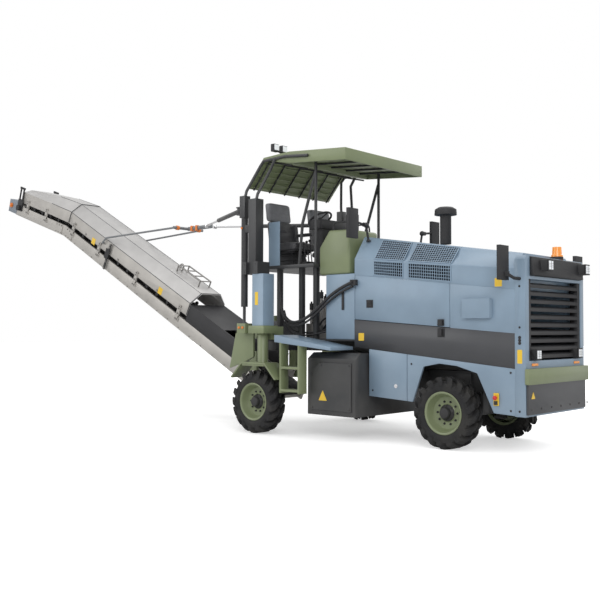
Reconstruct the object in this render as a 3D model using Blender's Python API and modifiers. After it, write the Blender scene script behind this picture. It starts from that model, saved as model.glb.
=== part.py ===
"""Small four-wheel cold planer with a rear loading conveyor.

Metres, +Z up, +X forwards, +Y to the machine's left. Sizes are given from the front axle's
centre on the ground; the empty "machine" then moves the whole to the middle of its box.
"""
import math

import bmesh
import bpy
from mathutils import Vector

for old in list(bpy.data.objects):
    bpy.data.objects.remove(old, do_unlink=True)

# ---------------------------------------------------------------- driving sizes
GAP = 0.0003                 # between pieces that touch
PIN_GAP = 0.0005             # between a pin and its hole

WHEELBASE = 2.58
TYRE_R = 0.40
TYRE_W = 0.23
RIM_R = 0.237
FRONT_WHEEL_Y = 0.66         # middle of the tyre
REAR_WHEEL_Y = 1.075
KINGPIN_Y = 0.50

BODY_HALF = 0.70             # outer face of the side panels
PANEL_T = 0.03
NOSE_X = 0.97                # front face of the cowl
PILLAR_X = 0.85              # rear face of the cowl
HOOD_REAR_X = -1.30
DOOR_FRONT_X = 0.06
FENDER_REAR_X = -0.52
SKIRT_REAR_X = -1.076
HOOD_TOP_HALF = 0.50         # half width of the hood's flat top
HOOD_T = 0.025

# Body lines drop towards the nose: height over the front axle, and slope per metre forwards.
LINES = {
    "skirt_bottom": (0.472, -0.0545),
    "band_bottom": (0.994, -0.0907),
    "band_top": (1.349, -0.072),
    "seam": (1.844, -0.111),
    "ridge": (2.053, -0.1015),
    "top": (2.275, -0.152),
    "walkway": (0.915, -0.150),
    "canopy": (3.44, -0.083),
}

RAIL_Y = (0.18, 0.30)        # inner and outer face of a frame rail
LOW_RAIL_Z = (0.62, 0.86)
HIGH_RAIL_Z = (1.0403, 1.18)
GOOSENECK_X = -1.045
FRAME_REAR_X = -3.00
DECK_T = 0.02

HOUSING_X = (-1.86, -1.10)
HOUSING_Y = (-0.93, 0.60)
HOUSING_Z = (0.28, HIGH_RAIL_Z[0] - GAP)
HOUSING_T = 0.03
DRUM_X, DRUM_Z, DRUM_R = -1.48, 0.60, 0.27
DRUM_SHAFT_R = 0.06
SCRAPER_TOP_Z = 0.86

COLUMN_X, COLUMN_Y = -WHEELBASE, 1.00
COLUMN_Z = (1.28, 2.04)
COLUMN_HALF = 0.10
LEG_TUBE_R = 0.07
LEG_TUBE_TOP = 1.70           # its whole travel of 0.30 stays inside the column
LEG_CROWN_Z = 0.885
LEG_PLATE_Y = (0.86, 0.90)

POST_X, POST_TOP_Z = -2.72, 3.03
STRUT_X, STRUT_TOP_Z = -2.93, 3.09
ARM_PIVOT_Z = 2.90

CANOPY_HALF = 0.82
CANOPY_X = (-2.30, -1.35)
CANOPY_T = 0.15
VISOR_X = -3.06
VISOR_DROP = 0.40

PLATFORM_Z = 2.12
SEAT_X = -2.62
SEAT_Y = 0.42

SLEW_X = -3.35               # upright axis of the conveyor's swing
LUFF_Z = 0.72
BELT_SLOPE = math.radians(27.2)
HEAD_SLOPE = math.radians(17.5)
TAIL_LEN = 0.38              # along the belt, ahead of the luffing pin
MAIN_LEN = 5.58              # from the luffing pin to the kink
HEAD_LEN = 1.72              # from the kink to the head pulley's centre
CONVEYOR_HALF = 0.35
SIDE_T = 0.03
RAIL_LOW, RAIL_HIGH = -0.265, -0.075   # lower side rail, measured square to the belt
PANEL_HIGH = 0.215           # top of the cover's flank, measured square to the belt
COVER_RISE = 0.17
COVER_START = 1.75           # distances from the luffing pin
BELT_T = 0.012
BELT_HALF = 0.26
HUB_X, HUB_Z = -4.75, 2.93   # where both arms reach the stay frame
EYE_Y = 0.09                 # keeps the open eyes clear of the spine through the whole swing
SPREADER_X = -5.30


def line_z(name, x):
    """Height of a body line at x."""
    base, slope = LINES[name]
    return base + slope * x


# ---------------------------------------------------------------- scene plumbing
parts = bpy.data.collections.new("cold_planer")
cutters = bpy.data.collections.new("cutters")
bpy.context.scene.collection.children.link(parts)
bpy.context.scene.collection.children.link(cutters)

FINISHES = {                 # colour, roughness, metallic
    "blue": ((0.33, 0.45, 0.56), 0.38, 0.0),
    "sage": ((0.36, 0.42, 0.25), 0.42, 0.0),
    "dark": ((0.065, 0.068, 0.072), 0.5, 0.0),
    "black": ((0.015, 0.015, 0.016), 0.55, 0.0),
    "grey": ((0.42, 0.42, 0.42), 0.45, 0.3),
    "steel": ((0.56, 0.54, 0.52), 0.38, 0.8),
    "rubber": ((0.02, 0.02, 0.021), 0.8, 0.0),
    "seat": ((0.2, 0.2, 0.22), 0.8, 0.0),
    "amber": ((0.9, 0.3, 0.02), 0.2, 0.0),
    "lamp": ((0.75, 0.77, 0.8), 0.15, 0.3),
}


def make_material(name, colour, roughness, metallic):
    material = bpy.data.materials.new(name)
    material.use_nodes = True
    shader = material.node_tree.nodes["Principled BSDF"]
    shader.inputs["Base Color"].default_value = (*colour, 1)
    shader.inputs["Roughness"].default_value = roughness
    shader.inputs["Metallic"].default_value = metallic
    material.diffuse_color = (*colour, 1)
    return material


MATERIALS = {name: make_material(name, *values) for name, values in FINISHES.items()}


def put_in(obj, collection):
    for held in list(obj.users_collection):
        held.objects.unlink(obj)
    collection.objects.link(obj)


def make_empty(name, place, parent=None):
    """An empty at a place given in the machine's own sizes."""
    empty = bpy.data.objects.new(name, None)
    parts.objects.link(empty)
    empty.parent = parent
    empty.location = Vector(place) - (ORIGINS[parent.name] if parent else Vector())
    ORIGINS[name] = Vector(place)
    return empty


ORIGINS = {}


def finish(obj, name, finish_name, parent):
    """Name a part, give it its material and hang it on its empty."""
    obj.name = name
    put_in(obj, parts)
    obj.data.materials.clear()
    obj.data.materials.append(MATERIALS[finish_name])
    obj.parent = parent
    obj.location = obj.location - ORIGINS[parent.name]
    return obj


def shade(obj):
    obj.data.shade_smooth()
    obj.data.set_sharp_from_angle(angle=math.radians(35))
    return obj


# ---------------------------------------------------------------- shapes
def box(x, y, z):
    """A box from three (low, high) pairs."""
    lows, highs = zip(x, y, z)
    middle = [(low + high) / 2 for low, high in zip(lows, highs)]
    bpy.ops.mesh.primitive_cube_add(size=1, location=middle)
    obj = bpy.context.object
    obj.scale = [high - low for low, high in zip(lows, highs)]
    bpy.ops.object.transform_apply(location=False, rotation=False, scale=True)
    return obj


def rod(start, end, radius, sides=16):
    """A cylinder between two points."""
    start, end = Vector(start), Vector(end)
    run = end - start
    bpy.ops.mesh.primitive_cylinder_add(
        vertices=sides, radius=radius, depth=run.length, location=(start + end) / 2,
        rotation=run.to_track_quat("Z", "Y").to_euler())
    obj = bpy.context.object
    bpy.ops.object.transform_apply(location=False, rotation=True, scale=False)
    return shade(obj)


def to_mesh(curve_object):
    """A curve as a closed mesh with its caps welded."""
    bpy.context.view_layer.update()
    graph = bpy.context.evaluated_depsgraph_get()
    mesh = bpy.data.meshes.new_from_object(curve_object.evaluated_get(graph))
    obj = bpy.data.objects.new("shape", mesh)
    obj.matrix_world = curve_object.matrix_world
    parts.objects.link(obj)
    weld(mesh)
    bpy.data.objects.remove(curve_object, do_unlink=True)
    return obj


def weld(mesh, flat=False):
    """Join points that meet and turn the faces out; flat also splits bent faces into triangles."""
    work = bmesh.new()
    work.from_mesh(mesh)
    bmesh.ops.remove_doubles(work, verts=work.verts, dist=0.00005)
    if flat:
        bmesh.ops.triangulate(work, faces=work.faces)
    bmesh.ops.recalc_face_normals(work, faces=work.faces)
    work.to_mesh(mesh)
    work.free()


def side_plate(outline, y):
    """An outline of (x, z) points, extruded between two y values."""
    curve = bpy.data.curves.new("outline", "CURVE")
    curve.dimensions = "2D"
    curve.fill_mode = "BOTH"
    curve.extrude = abs(y[1] - y[0]) / 2
    spline = curve.splines.new("POLY")
    spline.points.add(len(outline) - 1)
    for point, (x, z) in zip(spline.points, outline):
        point.co = (x, z, 0, 1)
    spline.use_cyclic_u = True
    holder = bpy.data.objects.new("outline", curve)
    parts.objects.link(holder)
    holder.rotation_euler = (math.pi / 2, 0, 0)
    holder.location = (0, (y[0] + y[1]) / 2, 0)
    obj = to_mesh(holder)
    bake(obj)
    return obj


def bake(obj):
    """Move an object's placement into its mesh, with its origin left at the machine's."""
    obj.data.transform(obj.matrix_world)
    obj.matrix_world.identity()


def pipe(points, radius, sides=2):
    """A bent tube through points, with filled caps."""
    curve = bpy.data.curves.new("pipe", "CURVE")
    curve.dimensions = "3D"
    curve.bevel_depth = radius
    curve.bevel_resolution = sides
    curve.use_fill_caps = True
    spline = curve.splines.new("POLY")
    spline.points.add(len(points) - 1)
    for point, place in zip(spline.points, points):
        point.co = (*place, 1)
    holder = bpy.data.objects.new("pipe", curve)
    parts.objects.link(holder)
    return shade(to_mesh(holder))


def turned(profile, place, axis, steps):
    """A closed (radius, height) profile turned about an axis through a place.

    The profile runs down its outer side, heights measured along the axis.
    """
    mesh = bpy.data.meshes.new("turned")
    points = [(radius, 0, height) for radius, height in profile]
    count = len(points)
    on_axis = profile[0][0] == 0
    edges = [(i, i + 1) for i in range(count - 1)]
    if not on_axis:
        edges.append((count - 1, 0))
    mesh.from_pydata(points, edges, [])
    obj = bpy.data.objects.new("turned", mesh)
    parts.objects.link(obj)
    screw = obj.modifiers.new("turn", "SCREW")
    screw.axis = "Z"
    screw.steps = steps
    screw.render_steps = steps
    screw.use_merge_vertices = True
    screw.merge_threshold = 0.00005
    bpy.context.view_layer.update()
    graph = bpy.context.evaluated_depsgraph_get()
    solid = bpy.data.objects.new("turned", bpy.data.meshes.new_from_object(obj.evaluated_get(graph)))
    bpy.data.objects.remove(obj, do_unlink=True)
    parts.objects.link(solid)
    solid.data.transform(Vector(axis).to_track_quat("Z", "Y").to_matrix().to_4x4())
    weld(solid.data)
    solid.location = place
    return shade(solid)


def loft(sections):
    """A closed solid through sections with the same number of points."""
    mesh = bpy.data.meshes.new("loft")
    size = len(sections[0])
    points = [point for section in sections for point in section]
    faces = [list(range(size)), [len(points) - 1 - i for i in range(size)]]
    for level in range(len(sections) - 1):
        for i in range(size):
            a, b = level * size + i, level * size + (i + 1) % size
            faces.append([a, a + size, b + size, b])
    mesh.from_pydata(points, [], faces)
    weld(mesh, flat=True)
    obj = bpy.data.objects.new("loft", mesh)
    parts.objects.link(obj)
    return obj


def combine(target, other, operation):
    """Add a Boolean to target and put its operand with the cutters."""
    bpy.context.view_layer.update()
    put_in(other, cutters)
    other.hide_render = True
    other.display_type = "WIRE"
    change = target.modifiers.new(operation.lower(), "BOOLEAN")
    change.operation = operation
    change.solver = "EXACT"
    change.object = other
    return target


def cut(target, *others):
    for other in others:
        combine(target, other, "DIFFERENCE")
    return settle(target, others)


def join(target, *others):
    for other in others:
        combine(target, other, "UNION")
    return settle(target, others)


def settle(target, operands):
    """Apply a piece's Booleans, so that it can be a cutter's or a joint's piece itself."""
    bpy.context.view_layer.update()
    graph = bpy.context.evaluated_depsgraph_get()
    solid = bpy.data.meshes.new_from_object(target.evaluated_get(graph))
    target.modifiers.clear()
    target.data = solid
    for operand in operands:
        bpy.data.objects.remove(operand, do_unlink=True)
    return target


# ---------------------------------------------------------------- joints' empties
machine = bpy.data.objects.new("machine", None)
parts.objects.link(machine)
ORIGINS["machine"] = Vector()

SIDES = {"right": -1, "left": 1}
HEAD_END_X = (SLEW_X - math.cos(BELT_SLOPE) * MAIN_LEN - math.cos(HEAD_SLOPE) * (HEAD_LEN + 0.42)
              + math.sin(HEAD_SLOPE) * (RAIL_LOW + 0.01))
BEAM_X = NOSE_X + 0.05


def along(distance, height):
    """(x, z) at a distance from the luffing pin up the conveyor, and a height square to its belt."""
    run = min(distance, MAIN_LEN)
    x = SLEW_X - math.cos(BELT_SLOPE) * run
    z = LUFF_Z + math.sin(BELT_SLOPE) * run
    slope = BELT_SLOPE
    if distance > MAIN_LEN:
        slope = HEAD_SLOPE
        x -= math.cos(slope) * (distance - MAIN_LEN)
        z += math.sin(slope) * (distance - MAIN_LEN)
    if distance == MAIN_LEN:
        slope = (BELT_SLOPE + HEAD_SLOPE) / 2
        height = height / math.cos((BELT_SLOPE - HEAD_SLOPE) / 2)
    return x + math.sin(slope) * height, z + math.cos(slope) * height


# ---------------------------------------------------------------- frame and engine
def build_frame():
    low, high = LOW_RAIL_Z, HIGH_RAIL_Z
    pieces = []
    for side in SIDES.values():
        y = sorted(side * edge for edge in RAIL_Y)
        pieces.append(box((GOOSENECK_X, 0.90), y, low))
        pieces.append(box((GOOSENECK_X, GOOSENECK_X + 0.14), y, (low[0] + 0.01, high[1] - 0.01)))
        pieces.append(box((FRAME_REAR_X, GOOSENECK_X + 0.13), y, high))
    for x, reach, z in ((0.79, 0.655, low), (-0.80, 0.66, low), (-0.54, 0.66, low)):
        pieces.append(box((x, x + 0.05), (-reach, reach), (z[0] + 0.02, z[1] - 0.02)))
    for x in (-0.80, 0.79):
        for side in SIDES.values():
            y = sorted((side * 0.62, side * 0.655))
            top = line_z("band_bottom", x + 0.045) + 0.02 - GAP
            pieces.append(box((x + 0.005, x + 0.045), y, (low[0] + 0.03, top)))
    reach = LEG_PLATE_Y[0] - 0.014
    pieces.append(box((-2.66, -2.50), (-reach, reach), (high[0] + 0.01, high[1] + 0.01)))
    pieces.append(box((FRAME_REAR_X - 0.02, FRAME_REAR_X + 0.10), (-0.91, 0.91),
                      (high[0] - 0.01, high[1] + 0.02)))
    pieces.append(box((-0.10, 0.10), (-0.33, 0.33), (low[0] + 0.03, low[1] - 0.03)))
    for x in (-0.12, 0.0853):
        pieces.append(box((x, x + 0.0347), (-0.10, 0.10), (0.36, low[0] + 0.10)))
    for side in SIDES.values():
        plate = [(-3.28, 0.80), (-2.96, 0.90), (-2.82, 0.96), (-2.82, 1.27), (-3.16, 1.27)]
        pieces.append(side_plate(plate, sorted((side * 0.905, side * 0.94))))
    carrier = box((SLEW_X - 0.13, FRAME_REAR_X + 0.01), (-0.16, 0.16), (1.32 + PIN_GAP, 1.44))
    pieces.append(carrier)
    pieces.append(box((FRAME_REAR_X - 0.12, FRAME_REAR_X + 0.02), (-0.20, 0.20), (1.05, 1.40)))
    hole = rod((SLEW_X, 0, 1.3), (SLEW_X, 0, 2.0), 0.05 + PIN_GAP, 24)
    frame = cut(join(*pieces), hole)
    finish(frame, "main_frame", "dark", machine)


def build_engine():
    finish(box((-0.75, 0.45), (-0.34, 0.34), (LOW_RAIL_Z[1] + GAP, 1.62)), "engine_block", "dark", machine)


def section(x, inset, floor_drop):
    """The hood's outline at x, drawn in by inset."""
    side = BODY_HALF - inset
    top = HOOD_TOP_HALF - inset * 0.5
    floor = line_z("seam", x) + GAP - floor_drop
    outline = [(side, floor), (side, line_z("ridge", x) - inset * 0.4), (top, line_z("top", x) - inset),
               (-top, line_z("top", x) - inset), (-side, line_z("ridge", x) - inset * 0.4), (-side, floor)]
    return [(x, y, z) for y, z in outline]


VENTS = ((-0.95, -0.62), (-0.46, 0.05))


def build_hood():
    ends = (HOOD_REAR_X, PILLAR_X - GAP)
    hood = loft([section(x, 0, 0) for x in ends])
    hollow = loft([section(x, HOOD_T, 0.1) for x in (ends[0] + HOOD_T, ends[1] - HOOD_T)])
    holes = []
    for low, high in VENTS:
        for side in SIDES.values():
            y = sorted((side * (HOOD_TOP_HALF + 0.03), side * (BODY_HALF - 0.03)))
            holes.append(box((low, high), y, (1.9, 2.6)))
            y = sorted((side * (BODY_HALF - 0.1), side * (BODY_HALF + 0.1)))
            middle = (low + high) / 2
            holes.append(box((low + 0.002, high - 0.002), y,
                             (line_z("seam", middle) + 0.05, line_z("ridge", middle) - 0.05)))
    hood = cut(hood, hollow)
    for hole in holes:
        hood = cut(hood, hole)
    finish(hood, "hood", "blue", machine)
    for label, side in SIDES.items():
        grille = loft([vent_section(x, side) for x in (VENTS[0][0] - 0.01, VENTS[1][1] + 0.01)])
        finish(grille, f"hood_grille_{label}", "black", machine)


def vent_section(x, side):
    """A bent sheet just under the hood's skin, from its flank up its slope."""
    outer, inner = HOOD_T + GAP, HOOD_T + 0.012
    points = []
    for inset in (outer, inner):
        y_side, y_top = BODY_HALF - inset, HOOD_TOP_HALF - inset * 0.5 + 0.012
        ridge, top = line_z("ridge", x) - inset * 0.4 - 0.030, line_z("top", x) - inset - 0.040
        low = (side * y_side, line_z("seam", x) + 0.02)
        run = [low, (side * y_side, ridge), (side * y_top, top - 0.008)]
        points.append(run if inset == outer else run[::-1])
    return [(x, y, z) for y, z in points[0] + points[1]]


def panel_outline(x0, x1, low, high, low_gap=GAP, high_gap=GAP):
    return [(x0, line_z(low, x0) + low_gap), (x1, line_z(low, x1) + low_gap),
            (x1, line_z(high, x1) - high_gap), (x0, line_z(high, x0) - high_gap)]


def side_y(side, outer=BODY_HALF, thick=PANEL_T):
    return sorted((side * outer, side * (outer - thick)))


ARCH = ((-0.495, 0.35), (-0.296, 0.905), (-0.09, 0.945), (0.145, 0.925), (0.397, 0.855), (0.64, 0.35))


def build_sides():
    for label, side in SIDES.items():
        y = side_y(side)
        hinge = make_empty(f"engine_door_{label}_axis",
                           (0, side * BODY_HALF, line_z("seam", 0)), machine)
        door = side_plate(panel_outline(HOOD_REAR_X + 0.006, DOOR_FRONT_X - 0.006, "band_top", "seam",
                                        0.006), y)
        finish(door, f"engine_door_{label}", "blue", hinge)
        panel = side_plate(panel_outline(DOOR_FRONT_X, PILLAR_X - GAP, "band_top", "seam"), y)
        scoop = box((0.24, 0.58), sorted((side * (BODY_HALF - 0.01), side * (BODY_HALF + 0.05))),
                    (1.45, 1.66))
        strap = box((0.40, 0.60), sorted((side * (BODY_HALF - 0.006), side * (BODY_HALF - 0.024))),
                    (1.20, 1.40))
        band = side_plate(panel_outline(HOOD_REAR_X, PILLAR_X - GAP, "band_bottom", "band_top"), y)
        sill = side_plate([(x, line_z("band_bottom", x) + rise) for x, rise in
                           ((-1.28, 0.02), (0.84, 0.02), (0.84, 0.08), (-1.28, 0.08))],
                          sorted((side * 0.625, side * (BODY_HALF - PANEL_T + 0.005))))
        finish(join(panel, scoop, strap, band, sill), f"side_panel_{label}", "blue", machine)
        skirt = [(FENDER_REAR_X, line_z("skirt_bottom", FENDER_REAR_X)),
                 (-0.56, line_z("skirt_bottom", -0.56)),
                 (PILLAR_X - GAP, line_z("skirt_bottom", PILLAR_X)),
                 (PILLAR_X - GAP, line_z("band_bottom", PILLAR_X) - GAP),
                 (FENDER_REAR_X, line_z("band_bottom", FENDER_REAR_X) - GAP)]
        skirt.pop(1)
        fender = side_plate(skirt, y)
        arch = side_plate(ARCH, sorted((side * 0.6, side * 0.8)))
        finish(cut(fender, arch), f"fender_{label}", "blue", machine)
        hinge = make_empty(f"service_door_{label}_axis",
                           (0, side * BODY_HALF, line_z("band_bottom", 0)), machine)
        outline = [(SKIRT_REAR_X, line_z("skirt_bottom", SKIRT_REAR_X)),
                   (FENDER_REAR_X - 0.006, line_z("skirt_bottom", FENDER_REAR_X)),
                   (FENDER_REAR_X - 0.006, line_z("band_bottom", FENDER_REAR_X) - GAP),
                   (SKIRT_REAR_X, line_z("band_bottom", SKIRT_REAR_X) - GAP)]
        finish(side_plate(outline, y), f"service_door_{label}", "blue", hinge)


def build_cowl():
    low, high = line_z("skirt_bottom", NOSE_X), 2.105
    cowl = box((PILLAR_X, NOSE_X), (-BODY_HALF, BODY_HALF), (low, high))
    window = box((PILLAR_X - 0.1, NOSE_X + 0.1), (-0.62, 0.62), (1.00, 1.86))
    back = box((PILLAR_X - 0.1, NOSE_X - 0.03), (-0.66, 0.66), (low - 0.1, 0.90))
    corner = loft([[(x, -BODY_HALF - 0.1, 1.93), (x, -BODY_HALF - 0.1, 2.2), (x, -0.60, 2.2)]
                   for x in (PILLAR_X - 0.1, NOSE_X + 0.1)])
    other = loft([[(x, BODY_HALF + 0.1, 1.93), (x, BODY_HALF + 0.1, 2.2), (x, 0.60, 2.2)]
                  for x in (PILLAR_X - 0.1, NOSE_X + 0.1)])
    cowl = cut(cowl, window, back, corner, other)
    mirrors = []
    for side in SIDES.values():
        mirrors.append(pipe([(0.91, side * (BODY_HALF - 0.02), 1.86), (0.90, side * 0.80, 1.86),
                             (0.86, side * 0.86, 1.90)], 0.018))
        mirrors.append(box((0.80, 0.84), sorted((side * 0.80, side * 0.98)), (1.84, 2.20)))
        mirrors.append(box((0.83, 0.87), sorted((side * 0.84, side * 0.88)), (1.88, 1.93)))
    finish(join(cowl, *mirrors), "front_cowl", "blue", machine)
    slats = [box((PILLAR_X + 0.02, NOSE_X - 0.01), sorted((side * 0.56, side * (0.62 - GAP))),
                 (1.0 + GAP, 1.86 - GAP))
             for side in SIDES.values()]
    for i in range(10):
        z = 1.035 + 0.083 * i
        slats.append(loft([[(NOSE_X - 0.06, y, z + 0.03), (NOSE_X - 0.012, y, z - 0.014),
                            (NOSE_X - 0.012, y, z + 0.022), (NOSE_X - 0.06, y, z + 0.045)]
                           for y in (-0.57, 0.57)]))
    for side in SIDES.values():
        y = side * 0.50
        slats.append(box((NOSE_X - 0.05, NOSE_X + 0.05), (y - 0.055, y + 0.055), (1.01, 1.12)))
    finish(join(*slats), "front_grille", "black", machine)
    beam = box((NOSE_X + GAP, BEAM_X), (-0.715, 0.715), (0.755, 0.92))
    plate = box((NOSE_X + GAP, NOSE_X + 0.025), (-0.69, 0.69), (0.44, 0.76))
    finish(join(beam, plate), "front_beam", "sage", machine)
    top = loft([[(NOSE_X + GAP, y, 1.89), (NOSE_X + 0.05, y, 1.90), (NOSE_X + 0.03, y, 2.09),
                 (NOSE_X + GAP, y, 2.10)]
                for y in (-0.60, 0.60)])
    lamps = [box((NOSE_X + 0.02, NOSE_X + 0.12), (y - 0.06, y + 0.06), (1.95, 2.07)) for y in (-0.36, 0.55)]
    finish(join(top, *lamps), "lamp_panel", "black", machine)


def build_hood_fittings():
    x = -0.20
    top = line_z("top", x)
    stack = turned([(0, 0.43), (0.085, 0.43), (0.125, 0.405), (0.13, 0.34), (0.065, 0.33), (0.065, 0),
                    (0, 0)],
                   (x, -0.38, top + 0.0099 + GAP), (0, 0, 1), 24)
    finish(stack, "exhaust_stack", "black", machine)
    beacon = turned([(0, 0.15), (0.05, 0.145), (0.055, 0.06), (0.065, 0.055), (0.065, 0), (0, 0)],
                    (0.916, 0.15, 2.105 + GAP), (0, 0, 1), 24)
    finish(beacon, "beacon", "amber", machine)


# ---------------------------------------------------------------- wheels and axles
def wheel(name, place, side, axis, bore):
    half = TYRE_W / 2
    outer = [(RIM_R, half * 0.82), (0.30, half * 0.99), (0.372, half * 0.93), (TYRE_R, half * 0.72),
             (TYRE_R, -half * 0.72), (0.372, -half * 0.93), (0.30, -half * 0.99), (RIM_R, -half * 0.82)]
    tyre = turned(outer, place, (0, side, 0), 36)
    edge = half * 0.88
    profile = [(0.212, edge), (RIM_R + 0.006, edge), (RIM_R + 0.006, -half * 0.9), (0.205, -half * 0.9),
               (0.205, -0.01), (0.15, 0.012), (bore, 0.012)]
    profile = profile + [(bore, 0.075), (0.085, 0.075), (0.095, 0.034), (0.15, 0.034), (0.195, 0.012)]
    rim = turned(profile, place, (0, side, 0), 24)
    finish(join(tyre, rim), f"wheel_{name}", "rubber", axis)


def build_front_axle():
    beam = box((-0.06, 0.06), (-0.46, 0.46), (0.33, 0.47))
    bosses = [rod((0, side * KINGPIN_Y, 0.285), (0, side * KINGPIN_Y, 0.515),
                  0.05) for side in SIDES.values()]
    pivot = box((-0.085, 0.085), (-0.08, 0.08), (0.35, 0.45))
    finish(join(beam, pivot, *bosses), "front_axle", "dark", machine)
    for label, side in SIDES.items():
        kingpin = make_empty(f"steer_{label}_axis", (0, side * KINGPIN_Y, TYRE_R), machine)
        inner = side * (KINGPIN_Y - 0.055)
        outer = side * (KINGPIN_Y + 0.09)
        knuckle = box((-0.05, 0.05), sorted((inner, outer)), (0.515 + PIN_GAP, 0.55))
        lower = box((-0.05, 0.05), sorted((inner, outer)), (0.25, 0.285 - PIN_GAP))
        web = box((-0.05, 0.05), sorted((side * (KINGPIN_Y + 0.056), outer)), (0.26, 0.54))
        stub = rod((0, side * (KINGPIN_Y + 0.08), TYRE_R), (0, side * (FRONT_WHEEL_Y + 0.06), TYRE_R),
                   0.035)
        finish(join(knuckle, lower, web, stub), f"knuckle_{label}", "dark", kingpin)
        axis = make_empty(f"front_wheel_{label}_axis", (0, side * FRONT_WHEEL_Y, TYRE_R), kingpin)
        wheel(f"front_{label}", (0, side * FRONT_WHEEL_Y, TYRE_R), side, axis, 0.035 + PIN_GAP)


def build_rear_legs():
    x = COLUMN_X
    for label, side in SIDES.items():
        lift = make_empty(f"leg_{label}_axis", (x, side * COLUMN_Y, LEG_CROWN_Z), machine)
        tube = rod((x, side * COLUMN_Y, LEG_CROWN_Z - 0.01), (x, side * COLUMN_Y, LEG_TUBE_TOP), LEG_TUBE_R)
        crown = box((x - 0.20, x + 0.20), sorted((side * (LEG_PLATE_Y[0] - 0.006), side * 1.18)),
                    (0.855, LEG_CROWN_Z))
        plate = box((x - 0.11, x + 0.11), sorted(side * edge for edge in LEG_PLATE_Y), (0.262, 0.87))
        motor = rod((x, side * 0.74, TYRE_R), (x, side * 0.93, TYRE_R), 0.12, 20)
        stub = rod((x, side * 0.92, TYRE_R), (x, side * (REAR_WHEEL_Y + 0.06), TYRE_R), 0.04)
        top = LEG_CROWN_Z - 0.005
        arch = [(x - 0.41, 0.70), (x - 0.39, 0.69), (x - 0.205, top), (x + 0.205, top), (x + 0.39, 0.69),
                (x + 0.41, 0.70), (x + 0.215, top + 0.02), (x - 0.215, top + 0.02)]
        fender = side_plate(arch, sorted((side * 0.95, side * 1.19)))
        finish(join(crown, tube, plate, motor, stub, fender), f"rear_leg_{label}", "sage", lift)
        axis = make_empty(f"rear_wheel_{label}_axis", (x, side * REAR_WHEEL_Y, TYRE_R), lift)
        wheel(f"rear_{label}", (x, side * REAR_WHEEL_Y, TYRE_R), side, axis, 0.04 + PIN_GAP)
        half = COLUMN_HALF
        column = box((x - half, x + half), (side * COLUMN_Y - half, side * COLUMN_Y + half), COLUMN_Z)
        foot = box((x - 0.08, x + 0.08), sorted((side * 0.70, side * (COLUMN_Y - half + 0.01))),
                   (HIGH_RAIL_Z[1] + 0.01 + GAP, 1.36))
        collar = box((x - half - 0.04, x + half + 0.04),
                     (side * COLUMN_Y - half - 0.03, side * COLUMN_Y + half + 0.03), (1.27, 1.37))
        bore = rod((x, side * COLUMN_Y, 1.0), (x, side * COLUMN_Y, COLUMN_Z[1] - 0.02),
                   LEG_TUBE_R + PIN_GAP)
        finish(cut(join(column, foot, collar), bore), f"lift_column_{label}", "blue", machine)


# ---------------------------------------------------------------- drum
def build_drum():
    low, high = HOUSING_Y
    x0, x1 = HOUSING_X
    z0, z1 = HOUSING_Z
    t = HOUSING_T
    shell = loft([[(x, low, z0), (x, high, z0), (x, high, z1), (x, low + 0.10, z1),
                   (x, low, z1 - 0.07)] for x in (x0, x1)])
    hollow = box((x0 + t, x1 - t), (low + t, high - t), (z0 - 0.1, z1 - 0.08))
    window = box((x0 - 0.1, x0 + 0.1), (low + t + 0.02, high - t - 0.02), (z0 - 0.1, SCRAPER_TOP_Z + 0.01))
    bore = rod((DRUM_X, low - 0.1, DRUM_Z), (DRUM_X, high + 0.1, DRUM_Z), DRUM_SHAFT_R + PIN_GAP, 24)
    finish(cut(shell, hollow, window, bore), "drum_housing", "dark", machine)
    half = (high - low) / 2
    middle = (high + low) / 2
    axis = make_empty("drum_axis", (DRUM_X, middle, DRUM_Z), machine)
    profile = [(0, half - 0.003), (DRUM_SHAFT_R, half - 0.003), (DRUM_SHAFT_R, half - 0.06),
               (DRUM_R, half - 0.06),
               (DRUM_R, 0.06 - half), (DRUM_SHAFT_R, 0.06 - half), (DRUM_SHAFT_R, 0.003 - half),
               (0, 0.003 - half)]
    drum = turned(profile, (DRUM_X, middle, DRUM_Z), (0, 1, 0), 24)
    finish(drum, "milling_drum", "dark", axis)
    hinge_x, hinge_z = x0 + 0.012, SCRAPER_TOP_Z
    hinge = make_empty("scraper_axis", (hinge_x, middle, hinge_z), machine)
    door = box((x0 + 0.002, x0 + 0.022), (low + t + 0.026, high - t - 0.026), (z0 + 0.01, SCRAPER_TOP_Z))
    pin = rod((hinge_x, low + t + 0.0203, hinge_z - 0.012), (hinge_x, high - t - 0.0203, hinge_z - 0.012),
              0.012)
    finish(join(door, pin), "scraper_door", "dark", hinge)


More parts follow.
